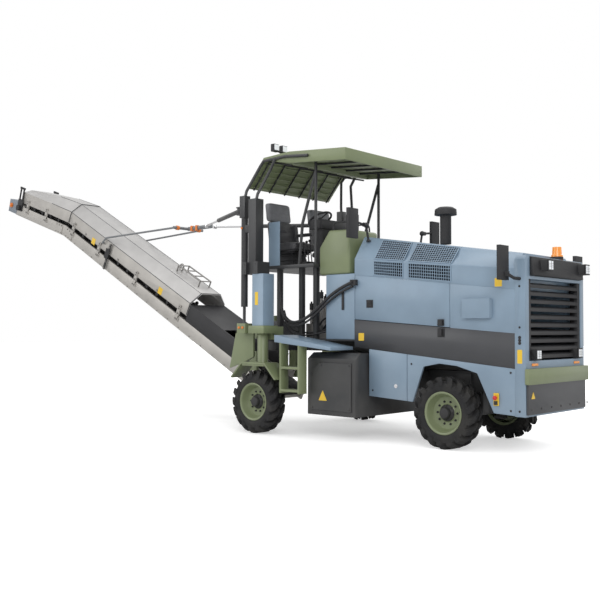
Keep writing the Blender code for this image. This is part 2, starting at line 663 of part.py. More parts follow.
# ---------------------------------------------------------------- operator's stand
def build_decks():
    finish(box((-2.36, HOOD_REAR_X - GAP), (-BODY_HALF, BODY_HALF),
               (HIGH_RAIL_Z[1] + GAP, HIGH_RAIL_Z[1] + GAP + DECK_T)),
           "deck_plate", "dark", machine)
    for label, side in SIDES.items():
        ends = (-2.25, -1.32)
        outline = [(ends[0], line_z("walkway", ends[0]) - 0.09),
                   (ends[1], line_z("walkway", ends[1]) - 0.04),
                   (ends[1], line_z("walkway", ends[1])), (ends[0], line_z("walkway", ends[0]))]
        walkway = side_plate(outline, sorted((side * (BODY_HALF + GAP), side * 1.13)))
        x = (-2.15, -1.83)
        y = (0.99, 1.13)
        rungs = [box(x, sorted((side * y[0], side * y[1])), (z, z + 0.03)) for z in (0.55, 0.83)]
        cheeks = [box((edge, edge + 0.03), sorted((side * y[0], side * y[1])),
                      (0.53, 1.18)) for edge in (x[0] - 0.01, x[1] - 0.02)]
        finish(join(walkway, *cheeks, *rungs), f"walkway_{label}", "blue", machine)
    z = HIGH_RAIL_Z[1] + GAP + DECK_T + GAP
    finish(box((-1.76, HOOD_REAR_X - GAP), (-BODY_HALF, -0.08), (z, 2.01)), "valve_cabinet", "blue",
           machine)
    tank = loft([[(-1.88, y, 2.01 + GAP), (-1.385, y, 2.01 + GAP), (-1.385, y, 2.56), (-1.72, y, 2.57),
                  (-1.88, y, 2.36)]
                 for y in (-BODY_HALF, -0.12)])
    finish(tank, "tank", "sage", machine)
    plate = box((-3.10, -1.90), (-0.78, 0.78), (PLATFORM_Z, PLATFORM_Z + 0.04))
    legs = []
    for x in (-2.30, -2.05):
        for side in SIDES.values():
            legs.append(box((x, x + 0.06), sorted((side * 0.56, side * 0.62)), (z, PLATFORM_Z + 0.01)))
    rear = [box((-2.66, -2.60), sorted((side * 0.60, side * 0.66)),
                (HIGH_RAIL_Z[1] + 0.01 + GAP, PLATFORM_Z + 0.01))
            for side in SIDES.values()]
    pieces = [plate, *legs, *rear]
    reach = line_z("canopy", -1.95) - 0.03 - GAP
    for side in SIDES.values():
        y = side * 0.66
        pieces.append(pipe([(-1.97, y, PLATFORM_Z + 0.02), (-1.97, y, 3.30), (-1.97, y, reach)], 0.02))
        pieces.append(pipe([(-2.26, y, PLATFORM_Z + 0.02), (-2.20, y, 2.70), (-1.975, y, 3.35)], 0.02))
    finish(join(*pieces), "operator_platform", "dark", machine)


def build_seats():
    floor = PLATFORM_Z + 0.04 + GAP
    for label, side in SIDES.items():
        y = side * SEAT_Y
        base = box((SEAT_X - 0.16, SEAT_X + 0.16), (y - 0.15, y + 0.15), (floor, floor + 0.20))
        cushion = box((SEAT_X - 0.24, SEAT_X + 0.26), (y - 0.24, y + 0.24), (floor + 0.19, floor + 0.33))
        back = loft([[(SEAT_X - 0.24, edge, floor + 0.22), (SEAT_X - 0.14, edge, floor + 0.25),
                      (SEAT_X - 0.24, edge, floor + 0.86), (SEAT_X - 0.33, edge, floor + 0.86)]
                     for edge in (y - 0.23, y + 0.23)])
        finish(join(base, cushion, back), f"seat_{label}", "seat", machine)
    console = box((-2.06, -1.94), (-0.56, -0.14), (floor, floor + 0.50))
    shelf = box((-2.14, -1.92), (-0.60, -0.10), (floor + 0.46, floor + 0.58))
    hub = Vector((-2.17, -0.35, floor + 0.62))
    lean = Vector((-0.5, 0, 0.85)).normalized()
    axis = make_empty("steering_wheel_axis", hub, machine)
    bpy.ops.mesh.primitive_torus_add(major_radius=0.16, minor_radius=0.014, major_segments=24,
                                     minor_segments=8,
                                     location=hub, rotation=lean.to_track_quat("Z", "Y").to_euler())
    rim = bpy.context.object
    bake(rim)
    across = lean.cross(Vector((0, 1, 0)))
    spokes = [rod(hub - reach * 0.158, hub + reach * 0.158, 0.009, 8) for reach in (Vector((0, 1, 0)),
                                                                                    across)]
    column = rod(hub - lean * 0.030, hub + lean * 0.012, 0.03)
    finish(join(rim, *spokes, column), "steering_wheel", "black", axis)
    post = rod(hub - lean * 0.0305, (hub - lean * 0.0305) - lean * 0.16, 0.022)
    finish(join(shelf, console, post), "control_console", "black", machine)


def build_canopy():
    x0, x1 = CANOPY_X
    half = CANOPY_HALF
    slab = [(x1, line_z("canopy", x1) - CANOPY_T), (x1, line_z("canopy", x1)), (x0, line_z("canopy", x0)),
            (VISOR_X + 0.30, line_z("canopy", x0) - 0.02), (VISOR_X, line_z("canopy", x0) - VISOR_DROP),
            (VISOR_X + 0.03, line_z("canopy", x0) - VISOR_DROP - 0.01),
            (VISOR_X + 0.33, line_z("canopy", x0) - 0.06), (x0, line_z("canopy", x0) - CANOPY_T)]
    roof = side_plate(slab, (-half, half))
    under = side_plate([(x1 - 0.03, line_z("canopy", x1) - CANOPY_T - 0.1),
                        (x1 - 0.03, line_z("canopy", x1) - 0.03),
                        (x0 + 0.03, line_z("canopy", x0) - 0.03),
                        (x0 + 0.03, line_z("canopy", x0) - CANOPY_T - 0.1)],
                       (-half + 0.03, half - 0.03))
    roof = cut(roof, under)
    for label, side in SIDES.items():
        y = side * COLUMN_Y
        post = box((POST_X - 0.07, POST_X + 0.07), (y - 0.07, y + 0.07), (COLUMN_Z[1] + GAP, POST_TOP_Z))
        strut_y = side * 1.0
        strut = box((STRUT_X - 0.05, STRUT_X + 0.05), (strut_y - 0.05, strut_y + 0.05), (2.80, STRUT_TOP_Z))
        tube = rod((STRUT_X, strut_y, 1.62), (STRUT_X, strut_y, 2.82), 0.045)
        thin = rod((STRUT_X, strut_y, 1.38), (STRUT_X, strut_y, 1.65), 0.02)
        block = box((STRUT_X - 0.08, STRUT_X + 0.08), sorted((side * 0.93, side * 1.06)),
                    (1.27 + GAP, 1.40))
        lug = box((STRUT_X + 0.03, POST_X - 0.06), (strut_y - 0.03, strut_y + 0.03), (2.60, 2.70))
        lug_low = box((STRUT_X + 0.02, POST_X - 0.06), (strut_y - 0.03, strut_y + 0.03), (2.15, 2.20))
        edge = side * (CANOPY_HALF + 0.02 + GAP)
        tube_a = pipe([(STRUT_X, strut_y, STRUT_TOP_Z - 0.03), (STRUT_X + 0.01, side * 0.98, 3.16),
                       (-2.80, edge, 3.50), (-2.74, edge, 3.56), (-2.35, edge, 3.57),
                       (-1.95, edge, 3.53)], 0.02)
        tube_b = pipe([(POST_X, strut_y, POST_TOP_Z - 0.03), (POST_X + 0.01, side * 0.98, 3.10),
                       (-2.62, edge, 3.42), (-2.52, edge, 3.5695)], 0.02)
        finish(join(strut, post, tube, thin, block, lug, lug_low, *arm_fork(side), tube_a, tube_b),
               f"canopy_post_{label}", "dark", machine)
        arm = pipe([(-1.20, side * 0.55, mirror_base()), (-1.20, side * 0.60, 2.60),
                    (-1.19, side * 0.80, 2.62)], 0.015)
        head = box((-1.21, -1.17), sorted((side * 0.79, side * 0.97)), (2.42, 2.78))
        finish(join(head, arm), f"rear_mirror_{label}", "black", machine)
    bar = box((-2.62, -2.58), (-0.80, -0.36), (line_z("canopy", -2.6) + 0.026,
                                               line_z("canopy", -2.6) + 0.045))
    lamps = [box((-2.66, -2.60), (y - 0.05, y + 0.05), (line_z("canopy", -2.6) + 0.03,
                                                        line_z("canopy", -2.6) + 0.13))
             for y in (-0.74, -0.58)]
    foot = box((-2.615, -2.585), (-0.50, -0.46), (line_z("canopy", -2.6) - 0.07,
                                                  line_z("canopy", -2.6) + 0.03))
    finish(join(roof, bar, *lamps, foot), "canopy", "sage", machine)


def mirror_base():
    """Top of the hood's slope where the rear mirror's arm stands."""
    fall = (0.55 - HOOD_TOP_HALF) / (BODY_HALF - HOOD_TOP_HALF)
    return line_z("top", -1.20) + (line_z("ridge", -1.20) - line_z("top", -1.20)) * fall + 0.0170


# ---------------------------------------------------------------- conveyor
def strip(start, end, low, high, y):
    """A band along the conveyor between two distances and two heights, bent at the kink."""
    stops = [start] + ([MAIN_LEN] if start < MAIN_LEN < end else []) + [end]
    outline = [along(stop, low) for stop in stops] + [along(stop, high) for stop in reversed(stops)]
    return side_plate(outline, y)


def build_console():
    slew = make_empty("slew_axis", (SLEW_X, 0, 1.30), machine)
    arm_y = CONVEYOR_HALF + 0.03
    pieces = [box((SLEW_X - 0.08, SLEW_X + 0.08), (-arm_y - 0.05, arm_y + 0.05), (1.22, 1.32))]
    pieces.append(rod((SLEW_X, 0, 1.30), (SLEW_X, 0, 1.52), 0.05, 24))
    for side in SIDES.values():
        y = sorted((side * arm_y, side * (arm_y + 0.05)))
        pieces.append(box((SLEW_X - 0.07, SLEW_X + 0.07), y, (0.62, 1.23)))
    console = join(*pieces)
    hole = rod((SLEW_X, -1, LUFF_Z), (SLEW_X, 1, LUFF_Z), 0.03 + PIN_GAP)
    finish(cut(console, hole), "conveyor_console", "sage", slew)
    return slew


def build_conveyor(slew):
    luff = make_empty("luff_axis", (SLEW_X, 0, LUFF_Z), slew)
    half, end = CONVEYOR_HALF, MAIN_LEN + HEAD_LEN
    pieces = []
    for side in SIDES.values():
        y = sorted((side * half, side * (half - SIDE_T)))
        pieces.append(strip(-TAIL_LEN, end + 0.12, RAIL_LOW, RAIL_HIGH, y))
        pieces.append(rod((SLEW_X, side * (half - 0.02), LUFF_Z), (SLEW_X, side * (half + 0.08), LUFF_Z),
                          0.03))
        y = sorted((side * (half - 0.004), side * (half - SIDE_T + 0.004)))
        pieces.append(strip(-0.08, 0.08, RAIL_HIGH - 0.03, 0.05, y))
        pieces.append(strip(end - 0.04, end + 0.10, RAIL_HIGH - 0.03, 0.06, y))
    for distance in (-0.30, 1.2, 2.6, 4.0, 5.3, 6.6):
        pieces.append(strip(distance - 0.03, distance + 0.03, RAIL_LOW + 0.01, RAIL_LOW + 0.06,
                            (0.01 - half, half - 0.01)))
    top, bottom = -0.045, -0.169
    y = (-BELT_HALF, BELT_HALF)
    loop = strip(-TAIL_LEN + 0.02, end + 0.06, bottom, top, y)
    hollow = strip(-TAIL_LEN + 0.02 + BELT_T, end + 0.06 - BELT_T, bottom + BELT_T, top - BELT_T, (-1, 1))
    finish(cut(loop, hollow), "conveyor_belt", "rubber", luff)
    for distance in (-TAIL_LEN + 0.10, end - 0.02):
        x, z = along(distance, (top + bottom) / 2)
        reach = half - SIDE_T / 2
        pieces.append(rod((x, -reach, z), (x, reach, z), (top - bottom) / 2 - BELT_T - 2 * GAP, 20))
    pieces.append(strip(end + 0.11, end + 0.42, RAIL_LOW + 0.01, -0.01, (-half - 0.004, half + 0.004)))
    finish(join(*pieces), "conveyor_frame", "steel", luff)

    shell_parts = []
    for name, start, stop, rise in (("main", COVER_START, MAIN_LEN - 0.05, COVER_RISE),):
        shell_parts.append((name, [cover_section(s, rise, half) for s in (start, stop)],
                            [cover_section(s, rise - 0.012, half - 0.012, -0.05) for s in (start - 0.1,
                                                                                           stop + 0.1)]))
    shell_parts.append(("head", [cover_section(s, r, half) for s, r in
                                 ((MAIN_LEN - 0.05 + GAP, COVER_RISE), (MAIN_LEN + 0.6, 0.15),
                                  (end - 0.05, 0.06))],
                        [cover_section(s, r - 0.012, half - 0.012, -0.05) for s, r in
                         ((MAIN_LEN - 0.15, COVER_RISE), (MAIN_LEN + 0.6, 0.15), (end + 0.05, 0.05))]))
    for name, outside, inside in shell_parts:
        shell = cut(loft(outside), loft(inside))
        tabs = []
        for distance in ((1.95, 3.2, 4.4, 5.3) if name == "main" else (6.3, 7.0)):
            for side in SIDES.values():
                y = sorted((side * (half - 0.005), side * (half + 0.012)))
                tabs.append(strip(distance - 0.04, distance + 0.04, RAIL_HIGH + GAP, 0.06, y))
        finish(join(shell, *tabs), f"conveyor_cover_{name}", "steel", luff)
    walls = [strip(0.15, COVER_START - GAP, RAIL_HIGH + GAP, 0.20,
                   sorted((side * half, side * (half - 0.02))))
             for side in SIDES.values()]
    walls.append(strip(0.9, COVER_START - GAP - 0.002, 0.18, 0.20 - 0.001, (0.01 - half, half - 0.01)))
    finish(join(*walls), "feed_hood", "black", luff)

    pins = []
    for side, distance in ((-1, 4.35), (1, 4.35)):
        x, z = along(distance, PANEL_HIGH)
        y = side * (half + 0.02)
        pins.append(pipe([(x, side * (half + 0.0003), z - 0.1), (x, y + side * 0.02, z - 0.1),
                          (x + 0.1, y + side * 0.01, z - 0.02), (SPREADER_X, side * 0.27, HUB_Z)], 0.016))
    spreader = rod((SPREADER_X, -0.30, HUB_Z), (SPREADER_X, 0.30, HUB_Z), 0.024)
    spine = box((SPREADER_X, HUB_X + 0.03), (-0.012, 0.012), (HUB_Z - 0.03, HUB_Z + 0.03))
    finish(join(spreader, spine, *pins), "stay_frame", "dark", luff)


def cover_section(distance, rise, half, low=0.0):
    """The cover's outline across the belt at a distance: flanks, slopes and a flat top."""
    outline = ((half, low + 0.005), (half, PANEL_HIGH), (half * 0.55, PANEL_HIGH + rise),
               (-half * 0.55, PANEL_HIGH + rise), (-half, PANEL_HIGH), (-half, low + 0.005))
    points = []
    for y, height in outline:
        x, z = along(distance, height)
        points.append((x, y, z))
    return points


def arm_pivot(side):
    return Vector((STRUT_X - 0.11, side * 1.0, ARM_PIVOT_Z))


def arm_fork(side):
    """The ears and the pin on a strut that an arm's barrel swings on."""
    pivot = arm_pivot(side)
    root = STRUT_X - 0.04
    ears = [box((pivot.x - 0.03, root), (pivot.y - 0.03, pivot.y + 0.03),
                sorted((pivot.z + s * 0.0405, pivot.z + s * 0.055)))
            for s in (-1, 1)]
    pin = rod(pivot - Vector((0, 0, 0.05)), pivot + Vector((0, 0, 0.05)), 0.012)
    return [*ears, pin]


def build_arms():
    """Each arm is a barrel that swings at its post and a rod that slides in it."""
    for label, side in SIDES.items():
        pivot = arm_pivot(side)
        eye = Vector((HUB_X, side * EYE_Y, HUB_Z))
        run = (eye - pivot).normalized()
        swing = make_empty(f"arm_{label}_axis", pivot, machine)
        barrel = rod(pivot + run * 0.018, pivot + run * 1.15, 0.030)
        knob = rod(pivot - Vector((0, 0, 0.040)), pivot + Vector((0, 0, 0.040)), 0.028)
        bore = rod(pivot + run * 0.12, pivot + run * 1.3, 0.0165)
        hole = rod(pivot - Vector((0, 0, 0.1)), pivot + Vector((0, 0, 0.1)), 0.012 + PIN_GAP)
        finish(cut(join(barrel, knob), bore, hole), f"arm_barrel_{label}", "dark", swing)
        slide = make_empty(f"arm_rod_{label}_axis", eye, swing)
        thin = rod(pivot + run * 0.62, eye, 0.016)
        end = rod(eye - Vector((0, 0, 0.03)), eye + Vector((0, 0, 0.03)), 0.028)
        finish(join(thin, end), f"arm_rod_{label}", "steel", slide)


build_frame()
build_engine()
build_hood()
build_sides()
build_cowl()
build_hood_fittings()
build_front_axle()
build_rear_legs()
build_drum()
build_decks()
build_seats()
build_canopy()
build_conveyor(build_console())
build_arms()
machine.location = (-(BEAM_X + 0.07 + HEAD_END_X) / 2, 0, 0)
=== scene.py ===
import bpy, bmesh, math, random
from mathutils import Vector, Matrix


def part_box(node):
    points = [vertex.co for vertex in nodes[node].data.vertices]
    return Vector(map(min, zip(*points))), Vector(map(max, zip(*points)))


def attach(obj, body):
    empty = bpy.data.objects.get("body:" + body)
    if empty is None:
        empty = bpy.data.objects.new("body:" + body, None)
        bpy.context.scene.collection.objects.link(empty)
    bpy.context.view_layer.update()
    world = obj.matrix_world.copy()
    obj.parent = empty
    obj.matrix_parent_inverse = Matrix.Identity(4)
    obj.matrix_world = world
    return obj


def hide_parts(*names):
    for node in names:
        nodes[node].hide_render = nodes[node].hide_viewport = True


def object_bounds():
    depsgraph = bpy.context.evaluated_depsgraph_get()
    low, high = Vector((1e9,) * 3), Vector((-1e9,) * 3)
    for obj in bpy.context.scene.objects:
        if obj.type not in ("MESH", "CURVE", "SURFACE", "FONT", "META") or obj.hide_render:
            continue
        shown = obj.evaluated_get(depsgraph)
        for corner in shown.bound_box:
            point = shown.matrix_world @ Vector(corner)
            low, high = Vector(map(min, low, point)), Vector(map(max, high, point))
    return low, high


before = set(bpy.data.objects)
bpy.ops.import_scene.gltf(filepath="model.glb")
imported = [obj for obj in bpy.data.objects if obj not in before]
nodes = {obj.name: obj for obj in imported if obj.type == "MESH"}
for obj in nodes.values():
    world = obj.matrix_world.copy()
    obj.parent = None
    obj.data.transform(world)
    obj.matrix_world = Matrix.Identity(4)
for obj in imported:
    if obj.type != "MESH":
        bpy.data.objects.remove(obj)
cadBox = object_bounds()
shift = (cadBox[1].x - 5.76) + 4.6703      # the front axle's place along the machine
random.seed(7)
print("frame loaded,", len(nodes), "nodes")


def at(x, y, z):
    # a point given from the front axle's centre at the ground
    return Vector((x + shift, y, z))


# ---- finishes
finishes = {
    "bluePaint": {"colour": (0.225, 0.312, 0.405), "rough": 0.42, "metal": 0.0, "coat": 0.25, "dust": 0.10, "peel": 0.04},
    "sagePaint": {"colour": (0.200, 0.238, 0.125), "rough": 0.45, "metal": 0.0, "coat": 0.2, "dust": 0.06, "peel": 0.05},
    "darkPaint": {"colour": (0.036, 0.037, 0.039), "rough": 0.5, "metal": 0.0, "coat": 0.1, "dust": 0.07, "peel": 0.06},
    "bandPaint": {"colour": (0.050, 0.052, 0.058), "rough": 0.45, "metal": 0.0, "coat": 0.15, "dust": 0.03, "peel": 0.04},
    "blackPlastic": {"colour": (0.016, 0.016, 0.018), "rough": 0.6, "metal": 0.0, "coat": 0.0, "dust": 0.05, "peel": 0.10},
    "castMetal": {"colour": (0.05, 0.05, 0.05), "rough": 0.75, "metal": 0.3, "coat": 0.0, "dust": 0.15, "peel": 0.3},
    "yellowPlate": {"colour": (0.85, 0.55, 0.03), "rough": 0.4, "metal": 0.0, "coat": 0.2, "dust": 0.03, "peel": 0.0},
    "orangePaint": {"colour": (0.80, 0.22, 0.03), "rough": 0.45, "metal": 0.0, "coat": 0.2, "dust": 0.05, "peel": 0.02},
    "redPlastic": {"colour": (0.60, 0.02, 0.015), "rough": 0.35, "metal": 0.0, "coat": 0.3, "dust": 0.02, "peel": 0.0},
    "hoseRubber": {"colour": (0.020, 0.020, 0.022), "rough": 0.55, "metal": 0.0, "coat": 0.0, "dust": 0.08, "peel": 0.15},
    "chainSteel": {"colour": (0.30, 0.29, 0.28), "rough": 0.4, "metal": 0.9, "coat": 0.0, "dust": 0.10, "peel": 0.1},
    "stayGrey": {"colour": (0.20, 0.21, 0.22), "rough": 0.45, "metal": 0.4, "coat": 0.0, "dust": 0.0, "peel": 0.05},
    "headBox": {"colour": (0.24, 0.27, 0.31), "rough": 0.5, "metal": 0.1, "coat": 0.0, "dust": 0.0, "peel": 0.05},
    "rodChrome": {"colour": (0.70, 0.70, 0.71), "rough": 0.16, "metal": 1.0, "coat": 0.0, "dust": 0.0, "peel": 0.0},
}


def nodeOf(tree, kind, **values):
    made = tree.nodes.new(kind)
    for name, value in values.items():
        if hasattr(made, name):
            setattr(made, name, value)
        else:
            made.inputs[name].default_value = value
    return made


def mixColours(tree, factor, first, second, mode="MIX"):
    made = tree.nodes.new("ShaderNodeMix")
    made.data_type, made.blend_type = "RGBA", mode
    made.clamp_factor = True
    for socket, value in ((made.inputs[0], factor), (made.inputs[6], first), (made.inputs[7], second)):
        if isinstance(value, bpy.types.NodeSocket):
            tree.links.new(value, socket)
        elif isinstance(value, (int, float)):
            socket.default_value = value
        else:
            socket.default_value = (*value, 1)
    return made.outputs[2]


def rampOf(tree, source, low, high):
    made = tree.nodes.new("ShaderNodeMapRange")
    made.inputs["From Min"].default_value = low
    made.inputs["From Max"].default_value = high
    tree.links.new(source, made.inputs["Value"])
    return made.outputs["Result"]


def noiseOf(tree, coords, scale, detail=4.0, stretch=(1, 1, 1)):
    mapping = nodeOf(tree, "ShaderNodeMapping")
    mapping.inputs["Scale"].default_value = stretch
    tree.links.new(coords, mapping.inputs["Vector"])
    noise = nodeOf(tree, "ShaderNodeTexNoise")
    noise.inputs["Scale"].default_value = scale
    noise.inputs["Detail"].default_value = detail
    tree.links.new(mapping.outputs[0], noise.inputs["Vector"])
    return noise.outputs["Fac"]


def startMaterial(name):
    material = bpy.data.materials.new(name)
    material.use_nodes = True
    tree = material.node_tree
    shader = tree.nodes["Principled BSDF"]
    coords = tree.nodes.new("ShaderNodeTexCoord").outputs["Object"]
    return material, tree, shader, coords


def addBump(tree, shader, height, strength, distance):
    bump = tree.nodes.new("ShaderNodeBump")
    bump.inputs["Strength"].default_value = strength
    bump.inputs["Distance"].default_value = distance
    tree.links.new(height, bump.inputs["Height"])
    tree.links.new(bump.outputs[0], shader.inputs["Normal"])
    return bump


def paintMaterial(name, s):
    # sprayed paint: faint mottling, dust that thins out with height, slight orange peel
    material, tree, shader, coords = startMaterial(name)
    cloud = noiseOf(tree, coords, 2.3, 5)
    fine = noiseOf(tree, coords, 160, 2)
    split = tree.nodes.new("ShaderNodeSeparateXYZ")
    tree.links.new(coords, split.inputs[0])
    low = rampOf(tree, split.outputs["Z"], 1.3, 0.1)
    dustMask = nodeOf(tree, "ShaderNodeMath", operation="MULTIPLY")
    tree.links.new(low, dustMask.inputs[0])
    tree.links.new(rampOf(tree, cloud, 0.35, 0.75), dustMask.inputs[1])
    dustAmount = nodeOf(tree, "ShaderNodeMath", operation="MULTIPLY")
    tree.links.new(dustMask.outputs[0], dustAmount.inputs[0])
    dustAmount.inputs[1].default_value = s["dust"] * 2.5
    darker = tuple(c * 0.90 for c in s["colour"])
    lighter = tuple(min(1, c * 1.07) for c in s["colour"])
    base = mixColours(tree, rampOf(tree, cloud, 0.3, 0.7), darker, lighter)
    dusty = mixColours(tree, dustAmount.outputs[0], base, (0.30, 0.28, 0.25))
    tree.links.new(dusty, shader.inputs["Base Color"])
    rough = rampOf(tree, cloud, 0.2, 0.8)
    rough.node.inputs["To Min"].default_value = s["rough"] - 0.06
    rough.node.inputs["To Max"].default_value = s["rough"] + 0.10
    tree.links.new(rough, shader.inputs["Roughness"])
    shader.inputs["Metallic"].default_value = s["metal"]
    shader.inputs["Coat Weight"].default_value = s["coat"]
    shader.inputs["Coat Roughness"].default_value = 0.2
    if s["peel"]:
        addBump(tree, shader, fine, s["peel"] * 2, 0.002)
    return material


def tyreMaterial():
    material, tree, shader, coords = startMaterial("tyreRubber")
    grime = noiseOf(tree, coords, 5, 6)
    colour = mixColours(tree, rampOf(tree, grime, 0.42, 0.75), (0.010, 0.010, 0.011), (0.034, 0.032, 0.029))
    tree.links.new(colour, shader.inputs["Base Color"])
    shader.inputs["Roughness"].default_value = 0.82
    addBump(tree, shader, noiseOf(tree, coords, 220, 3), 0.25, 0.002)
    return material


def stainlessMaterial(name, colour, rough):
    # rolled sheet: fine lines along the conveyor, soft handling marks
    material, tree, shader, coords = startMaterial(name)
    lines = noiseOf(tree, coords, 14, 3, (1, 60, 60))
    marks = noiseOf(tree, coords, 3, 6)
    shade = mixColours(tree, rampOf(tree, marks, 0.3, 0.7), tuple(c * 0.84 for c in colour), colour)
    tree.links.new(shade, shader.inputs["Base Color"])
    value = rampOf(tree, lines, 0.3, 0.7)
    value.node.inputs["To Min"].default_value = rough - 0.05
    value.node.inputs["To Max"].default_value = rough + 0.12
    tree.links.new(value, shader.inputs["Roughness"])
    shader.inputs["Metallic"].default_value = 0.55
    addBump(tree, shader, lines, 0.10, 0.001)
    return material


def seatMaterial(name, darker, lighter):
    material, tree, shader, coords = startMaterial(name)
    grain = tree.nodes.new("ShaderNodeTexVoronoi")
    grain.inputs["Scale"].default_value = 260
    tree.links.new(coords, grain.inputs["Vector"])
    wear = noiseOf(tree, coords, 7, 4)
    colour = mixColours(tree, rampOf(tree, wear, 0.35, 0.7), darker, lighter)
    tree.links.new(colour, shader.inputs["Base Color"])
    shader.inputs["Roughness"].default_value = 0.55
    shader.inputs["Sheen Weight"].default_value = 0.15
    addBump(tree, shader, grain.outputs["Distance"], 0.35, 0.0015)
    return material


def beltMaterial():
    material, tree, shader, coords = startMaterial("beltRubber")
    ribs = tree.nodes.new("ShaderNodeTexWave")
    ribs.inputs["Scale"].default_value = 3.5
    ribs.inputs["Distortion"].default_value = 0.4
    tree.links.new(coords, ribs.inputs["Vector"])
    dust = noiseOf(tree, coords, 9, 5)
    colour = mixColours(tree, rampOf(tree, dust, 0.4, 0.8), (0.014, 0.014, 0.015), (0.07, 0.065, 0.058))
    tree.links.new(colour, shader.inputs["Base Color"])
    shader.inputs["Roughness"].default_value = 0.8
    addBump(tree, shader, ribs.outputs["Fac"], 0.5, 0.006)
    return material


def lensMaterial(name, colour, paintedGlow):
    # ribbed lamp cover; its emission is painted glow, on the amber side reflectors too, which are no lamps
    material, tree, shader, coords = startMaterial(name)
    ribs = tree.nodes.new("ShaderNodeTexWave")
    ribs.bands_direction = "Z"
    ribs.inputs["Scale"].default_value = 30
    tree.links.new(coords, ribs.inputs["Vector"])
    tint = mixColours(tree, ribs.outputs["Fac"], tuple(c * 0.8 for c in colour), colour)
    tree.links.new(tint, shader.inputs["Base Color"])
    shader.inputs["Roughness"].default_value = 0.12
    shader.inputs["Coat Weight"].default_value = 0.6
    shader.inputs["Emission Color"].default_value = (*colour, 1)
    shader.inputs["Emission Strength"].default_value = paintedGlow
    addBump(tree, shader, ribs.outputs["Fac"], 0.2, 0.002)
    return material


def perforatedMaterial():
    # punched sheet: rows of round holes, painted near black as painted shade behind them
    material, tree, shader, coords = startMaterial("punchedSheet")
    mapping = nodeOf(tree, "ShaderNodeMapping")
    mapping.inputs["Scale"].default_value = (26, 30, 26)
    tree.links.new(coords, mapping.inputs["Vector"])
    cells = tree.nodes.new("ShaderNodeTexVoronoi")
    cells.voronoi_dimensions = "3D"
    cells.inputs["Scale"].default_value = 1.0
    cells.inputs["Randomness"].default_value = 0.0
    tree.links.new(mapping.outputs[0], cells.inputs["Vector"])
    hole = rampOf(tree, cells.outputs["Distance"], 0.40, 0.44)
    colour = mixColours(tree, hole, (0.004, 0.004, 0.004), (0.10, 0.11, 0.115))
    tree.links.new(colour, shader.inputs["Base Color"])
    shader.inputs["Roughness"].default_value = 0.5
    addBump(tree, shader, hole, 0.6, 0.004)
    return material


def treadPlateMaterial():
    # raised bars on a walkway's plate
    material, tree, shader, coords = startMaterial("treadPlate")
    mapping = nodeOf(tree, "ShaderNodeMapping")
    mapping.inputs["Scale"].default_value = (30, 30, 1)
    mapping.inputs["Rotation"].default_value = (0, 0, math.radians(45))
    tree.links.new(coords, mapping.inputs["Vector"])
    bars = tree.nodes.new("ShaderNodeTexBrick")
    bars.inputs["Scale"].default_value = 1.0
    bars.inputs["Mortar Size"].default_value = 0.06
    tree.links.new(mapping.outputs[0], bars.inputs["Vector"])
    shader.inputs["Base Color"].default_value = (0.022, 0.023, 0.025, 1)
    shader.inputs["Roughness"].default_value = 0.6
    addBump(tree, shader, bars.outputs["Fac"], 0.5, 0.003)
    return material


materials = {name: paintMaterial(name, settings) for name, settings in finishes.items()}
materials["tyre"] = tyreMaterial()
materials["stainless"] = stainlessMaterial("stainlessSheet", (0.50, 0.48, 0.45), 0.42)
materials["cover"] = stainlessMaterial("coverSheet", (0.56, 0.55, 0.54), 0.38)
materials["seat"] = seatMaterial("seatCover", (0.026, 0.026, 0.029), (0.045, 0.045, 0.05))
materials["headrest"] = seatMaterial("headrestCover", (0.135, 0.138, 0.150), (0.185, 0.190, 0.205))
materials["belt"] = beltMaterial()
materials["whiteLens"] = lensMaterial("whiteLens", (0.82, 0.85, 0.88), 0.25)
materials["amberLens"] = lensMaterial("amberLens", (0.95, 0.32, 0.03), 0.15)
materials["punched"] = perforatedMaterial()
materials["treadPlate"] = treadPlateMaterial()
print("finishes made,", len(materials))


# ---- pieces
def newPiece(name, mesh, material, body, bevel=0.0, smooth=True):
    piece = bpy.data.objects.new(name, mesh)
    bpy.context.scene.collection.objects.link(piece)
    mesh.materials.clear()
    mesh.materials.append(materials[material])
    if smooth:
        mesh.shade_smooth()
        mesh.set_sharp_from_angle(angle=math.radians(35))
    if bevel:
        rounding = piece.modifiers.new("Bevel", "BEVEL")
        rounding.width, rounding.segments = bevel, 2
        rounding.limit_method, rounding.angle_limit = "ANGLE", math.radians(40)
        rounding.harden_normals = False
    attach(piece, body)
    return piece


def meshFrom(bm, name):
    bmesh.ops.recalc_face_normals(bm, faces=bm.faces[:])
    mesh = bpy.data.meshes.new(name)
    bm.to_mesh(mesh)
    bm.free()
    return mesh


def addBox(bm, low, high):
    low, high = Vector(low), Vector(high)
    made = bmesh.ops.create_cube(bm, size=1)["verts"]
    bmesh.ops.scale(bm, vec=high - low, verts=made)
    bmesh.ops.translate(bm, vec=(low + high) / 2, verts=made)
    return made


def addRod(bm, start, end, radius, steps=16, endRadius=None):
    start, end = Vector(start), Vector(end)
    run = end - start
    made = bmesh.ops.create_cone(bm, cap_ends=True, segments=steps, radius1=radius,
                                 radius2=radius if endRadius is None else endRadius, depth=run.length)["verts"]
    turn = run.to_track_quat("Z", "Y").to_matrix().to_4x4()
    bmesh.ops.transform(bm, matrix=Matrix.Translation((start + end) / 2) @ turn, verts=made)
    return made


def addBolt(bm, place, facing, radius=0.011, height=0.008):
    # hexagon head on a washer
    place, facing = Vector(place), Vector(facing).normalized()
    addRod(bm, place, place + facing * height * 0.25, radius * 1.35, 14)
    addRod(bm, place + facing * height * 0.25, place + facing * height, radius, 6)


